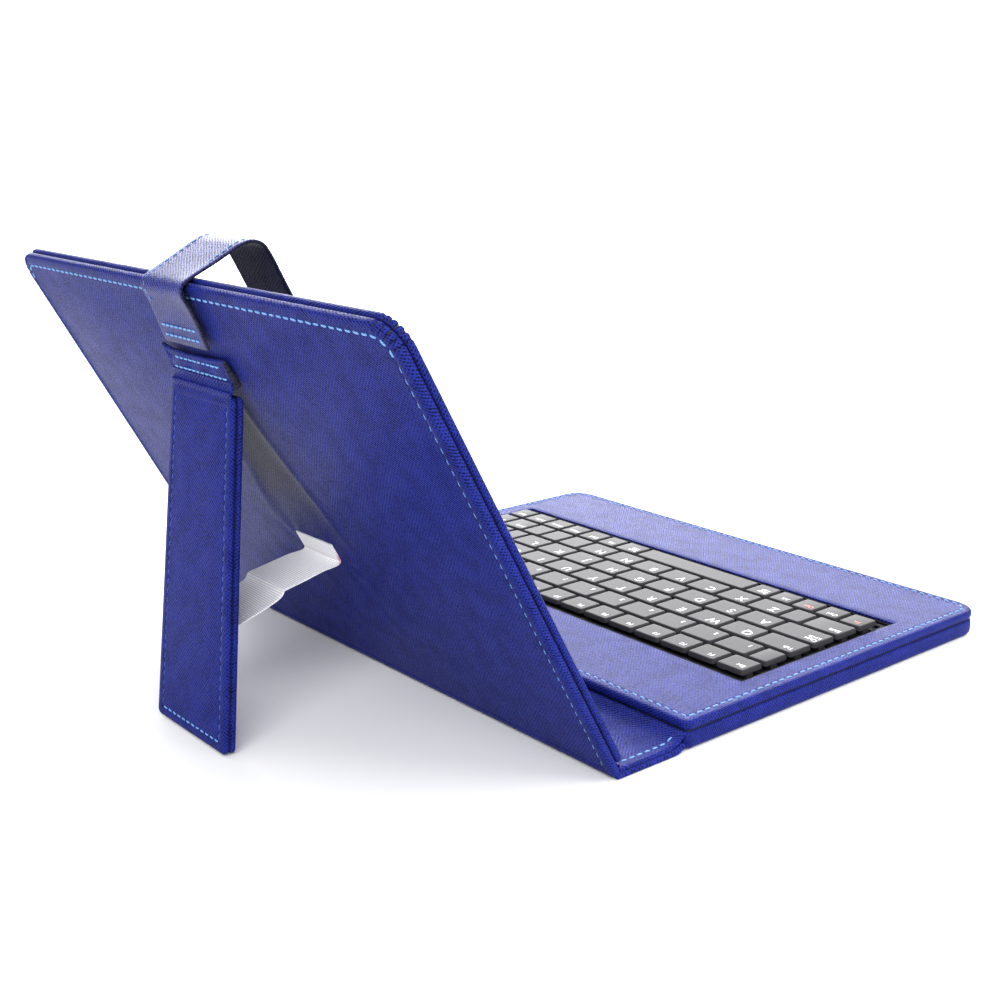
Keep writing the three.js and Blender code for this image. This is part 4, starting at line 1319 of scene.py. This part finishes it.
def addStrap():
    path = smoothPath(panelPath(strapLine), 0.8)
    inward = (path - panelPath([(0, 0)])[0]) @ panelIn[1:]
    cut = int(np.argmax(inward > strapSplit))
    along = np.concatenate([[0], np.cumsum(np.linalg.norm(np.diff(path, axis=0), axis=1))])
    wave = lambda s: 0.35 * np.sin(s / 9.5 + 0.6) + 0.2 * np.sin(s / 4.1)
    bow = lambda across, s: 0.9 * (across / 16) ** 2 * np.exp(-(((s - 20) / 12) ** 2)) * (across < 0)

    def edgeShade(across, s):
        # Painted shade along the two cut edges, most of all by the root, and at the root's own end.
        edges = (0.35 + 0.6 * smoothStep(22 - s, 0, 6)) * np.exp(-(((16.2 - np.abs(across)) / 1.1) ** 2))
        return np.maximum(edges, 0.95 * np.exp(-((s / 0.9) ** 2)))

    # Underside and cut rim in the darker leather copy: painted shade.
    materials = (shadedLeather, strapLeather, shadedLeather)
    made = []
    for name, part in (("strap_root_leather", slice(0, cut + 1)), ("strap_arch_leather", slice(cut, None))):
        line, begin = path[part], along[part][0]
        lift = lambda across, s, begin=begin: (
            -bow(across, s + begin) + 0.12 * np.sin((s + begin) / 6.0) * (across / 16) ** 2
        )
        piece = band(
            name, line, strap["width"], strap["thickness"], materials, columns=33, edge=0.5, lift=lift,
            widths=strap["width"] + 0.5 * np.sin(along[part] / 7), shift=wave(along[part]) * 0.4,
            start=begin, close=0.95,
            marks={"paintedShadeAndFray": lambda across, s, begin=begin: edgeShade(across, s + begin)},
        )
        made.append(piece)
    ahead = np.gradient(path, axis=0)
    ahead /= np.linalg.norm(ahead, axis=1)[:, None]
    out = np.stack([0 * along, ahead[:, 1], -ahead[:, 0]], 1)
    rows = []
    surface = strap["thickness"] / 2 - strap["threadSink"]
    for x in (-strap["rowAt"], strap["rowAt"]):
        points = np.hstack([np.full((len(path), 1), x), path]) + out * surface
        points[:, 0] += wave(along) * 0.4
        rows.append((points, out))
    start, end = int(np.argmax(along > 16)), len(path) - 3
    root = [(p[start:cut], n[start:cut]) for p, n in rows]
    arch = [(p[cut:end], n[cut:end]) for p, n in rows]
    sewn = []
    for height in strap["sewnAt"]:
        spot = int(np.argmin(np.abs((path - panelPath([(0, 0)])[0]) @ panelUp[1:] - height)[:cut]))
        across = np.linspace(-strap["sewnHalf"], strap["sewnHalf"], 24)
        centre = np.array([0, *path[spot]]) + out[spot] * surface
        points = centre + across[:, None] * np.array([1.0, 0, 0])
        sewn.append((points, np.tile(out[spot], (24, 1))))
    rootStitches = stitchRow("strap_root_stitches", root, pitch=3.0, length=2.2, radius=0.17)
    archStitches = stitchRow("strap_arch_stitches", arch, pitch=3.0, length=2.2, radius=0.17)
    sewnRows = stitchRow("strap_base_stitches", sewn, pitch=3.1, length=2.3, radius=0.34)
    for piece in (made[0], rootStitches, sewnRows):
        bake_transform(piece)
    for piece in (made[1], archStitches):
        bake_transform(piece)
    settle(made[0], "blue_leather", "strap_base", "strap_root_fold")
    settle(made[1], "blue_leather", "strap_arch", "strap_tip_fold", "strap_tip")
    for piece in (rootStitches, archStitches, sewnRows):
        settle(piece, "blue_leather")


addStrap()
print("strap made")

clips = {"x": 85, "half": 11, "reach": 15.5, "lip": 1.4, "lower": 9, "upper": 183, "bevel": 0.45}


def prism(name, outline, x0, x1, material, bevel):
    # An outline on the leaning panel drawn across it, with its edges bevelled.
    outline = np.asarray(outline, float)
    count = len(outline)
    points = np.vstack([backFace.points(x, outline[:, 0], outline[:, 1]) for x in (x0, x1)])
    index = np.arange(count)
    ahead = np.roll(index, -1)
    faces = [
        np.stack([index, ahead, ahead + count, index + count], 1), [index.tolist()],
        [(index + count).tolist()],
    ]
    piece = addMesh(name, points, faces, materials=(material,), sharp=35)
    rounding = piece.modifiers.new("bevel", "BEVEL")
    rounding.width, rounding.segments, rounding.limit_method = bevel * mm, 3, "ANGLE"
    return piece


def clipOutline(start, facing, foot, footThickness):
    shape = [
        (0, foot), (14, foot), (14, foot + footThickness), (2, foot + footThickness),
        (2, clips["reach"] - clips["lip"]), (6, clips["reach"] - clips["lip"]),
        (6, clips["reach"]), (0, clips["reach"]),
    ]
    return [(start + facing * along, up) for along, up in shape]


def coil(name, x, low, high, depth, radius, wire, turns, material):
    # A wire tube carried along a helix up the panel.
    t = np.linspace(0, 1, 12 * turns + 1)
    angle = 2 * np.pi * turns * t
    centre = np.stack([x + radius * np.cos(angle), low + (high - low) * t, depth + radius * np.sin(angle)], 1)
    turn = np.arange(6) * np.pi / 3
    outward = np.stack([np.cos(angle), 0 * angle, np.sin(angle)], 1)
    upward = np.array([0.0, 1.0, 0.0])
    ring = centre[:, None, :] + wire * (
        outward[:, None, :] * np.cos(turn)[None, :, None] + upward * np.sin(turn)[None, :, None]
    )
    index = np.arange(len(t) * 6).reshape(len(t), 6)
    wrapped = np.concatenate([index, index[:, :1]], 1)
    ring = ring.reshape(-1, 3)
    faces = [gridQuads(wrapped), index[:1], index[-1:]]
    return addMesh(name, backFace.points(ring[:, 0], ring[:, 1], ring[:, 2]), faces, materials=(material,))


def addClips():
    foot = panel["frontTop"] + 0.3
    for side, x in (("left", -clips["x"]), ("right", clips["x"])):
        x0, x1 = x - clips["half"], x + clips["half"]
        lower = prism(
            f"lower_clip_{side}_hook", clipOutline(clips["lower"], 1, foot, 1.2), x0, x1,
            blackPlastic, clips["bevel"],
        )
        place(lower, "tablet_panel", "black_plastic", f"lower_clip_{side}")
        upper = prism(
            f"upper_clip_{side}_hook",
            clipOutline(clips["upper"], -1, panel["frontTop"] + 1.65, 1.1), x0, x1, blackPlastic,
            clips["bevel"],
        )
        place(upper, f"clip_slider_{side}", "black_plastic", f"upper_clip_{side}")
        depth = panel["frontTop"] + 2.3
        spring = coil(f"clip_spring_{side}_coil", x, 149, 168.9, depth, 0.62, 0.22, 16, platedSteel)
        tuple(backFace.points(x, 149, depth)[0] * mm)
        tuple(backFace.points(x, 168.9, depth)[0] * mm)
        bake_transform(spring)
        settle(spring, "magnet_steel", f"clip_spring_{side}")


addClips()
print("clips made")

finishes = {
    "base_board": greyBoard, "deck_board": greyBoard, "spine_board": greyBoard, "back_board": greyBoard,
    "front_board": greyBoard, "kickstand_board": greyBoard,
    "base_magnet": platedSteel, "strap_magnet": platedSteel,
    "controller_board": circuit, "cable_gland": rubber, "key_membrane": film, "dome_sheet": silicone,
    "keyboard_case": blackPlastic, "key_plate": blackPlastic,
    "clip_track_left": blackPlastic, "clip_track_right": blackPlastic,
}
for node, material in finishes.items():
    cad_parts[node].data.materials.clear()
    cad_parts[node].data.materials.append(material)
left = [name for name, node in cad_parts.items() if not node.hide_render and name not in finishes]
print("nodes without a finish:", left)


def addSoftbox(name, power, size, spot):
    lamp = bpy.data.lights.new(name, "AREA")
    lamp.shape = "RECTANGLE"
    lamp.energy, lamp.size, lamp.size_y = power, *size
    light = bpy.data.objects.new(name, lamp)
    light.location = spot
    light.rotation_mode = "QUATERNION"
    light.rotation_quaternion = (Vector((0, 0.05, 0.05)) - Vector(spot)).to_track_quat("-Z", "Y")
    bpy.context.scene.collection.objects.link(light)


def addStudio():
    # A round floor, so that its far edge stays where the light still turns it white.
    sides = studio["floorSides"]
    turn = np.arange(sides) * 2 * np.pi / sides
    circle = np.stack([np.cos(turn), np.sin(turn), 0 * turn], 1)
    rim = circle * studio["floorRadius"] - (0, 0, studio["floorDrop"])
    mesh = bpy.data.meshes.new("floor")
    mesh.from_pydata(rim.tolist(), [], [tuple(range(sides))])
    floor = bpy.data.objects.new("floor", mesh)
    bpy.context.scene.collection.objects.link(floor)
    material, tree, shader = newMaterial("paperSweep")
    shader.inputs["Base Color"].default_value = (*[studio["floorTone"]] * 3, 1)
    shader.inputs["Roughness"].default_value = 0.9
    shader.inputs["Specular IOR Level"].default_value = 0.1
    mesh.materials.append(material)
    size = studio["overheadSize"]
    addSoftbox("overhead", studio["overhead"], (size, size), studio["overheadPlace"])
    addSoftbox("backdrop", studio["backdrop"], studio["backdropSize"], studio["backdropPlace"])
    addSoftbox("fill", studio["fill"], studio["fillSize"], studio["fillPlace"])
    addSoftbox("side", studio["side"], studio["sideSize"], studio["sidePlace"])
    world = bpy.data.worlds.new("studio")
    world.use_nodes = True
    world.node_tree.nodes["Background"].inputs["Color"].default_value = (1, 1, 1, 1)
    world.node_tree.nodes["Background"].inputs["Strength"].default_value = studio["sky"]
    bpy.context.scene.world = world
    bpy.context.scene.view_settings.view_transform = "Standard"


addStudio()
print("scene ready")
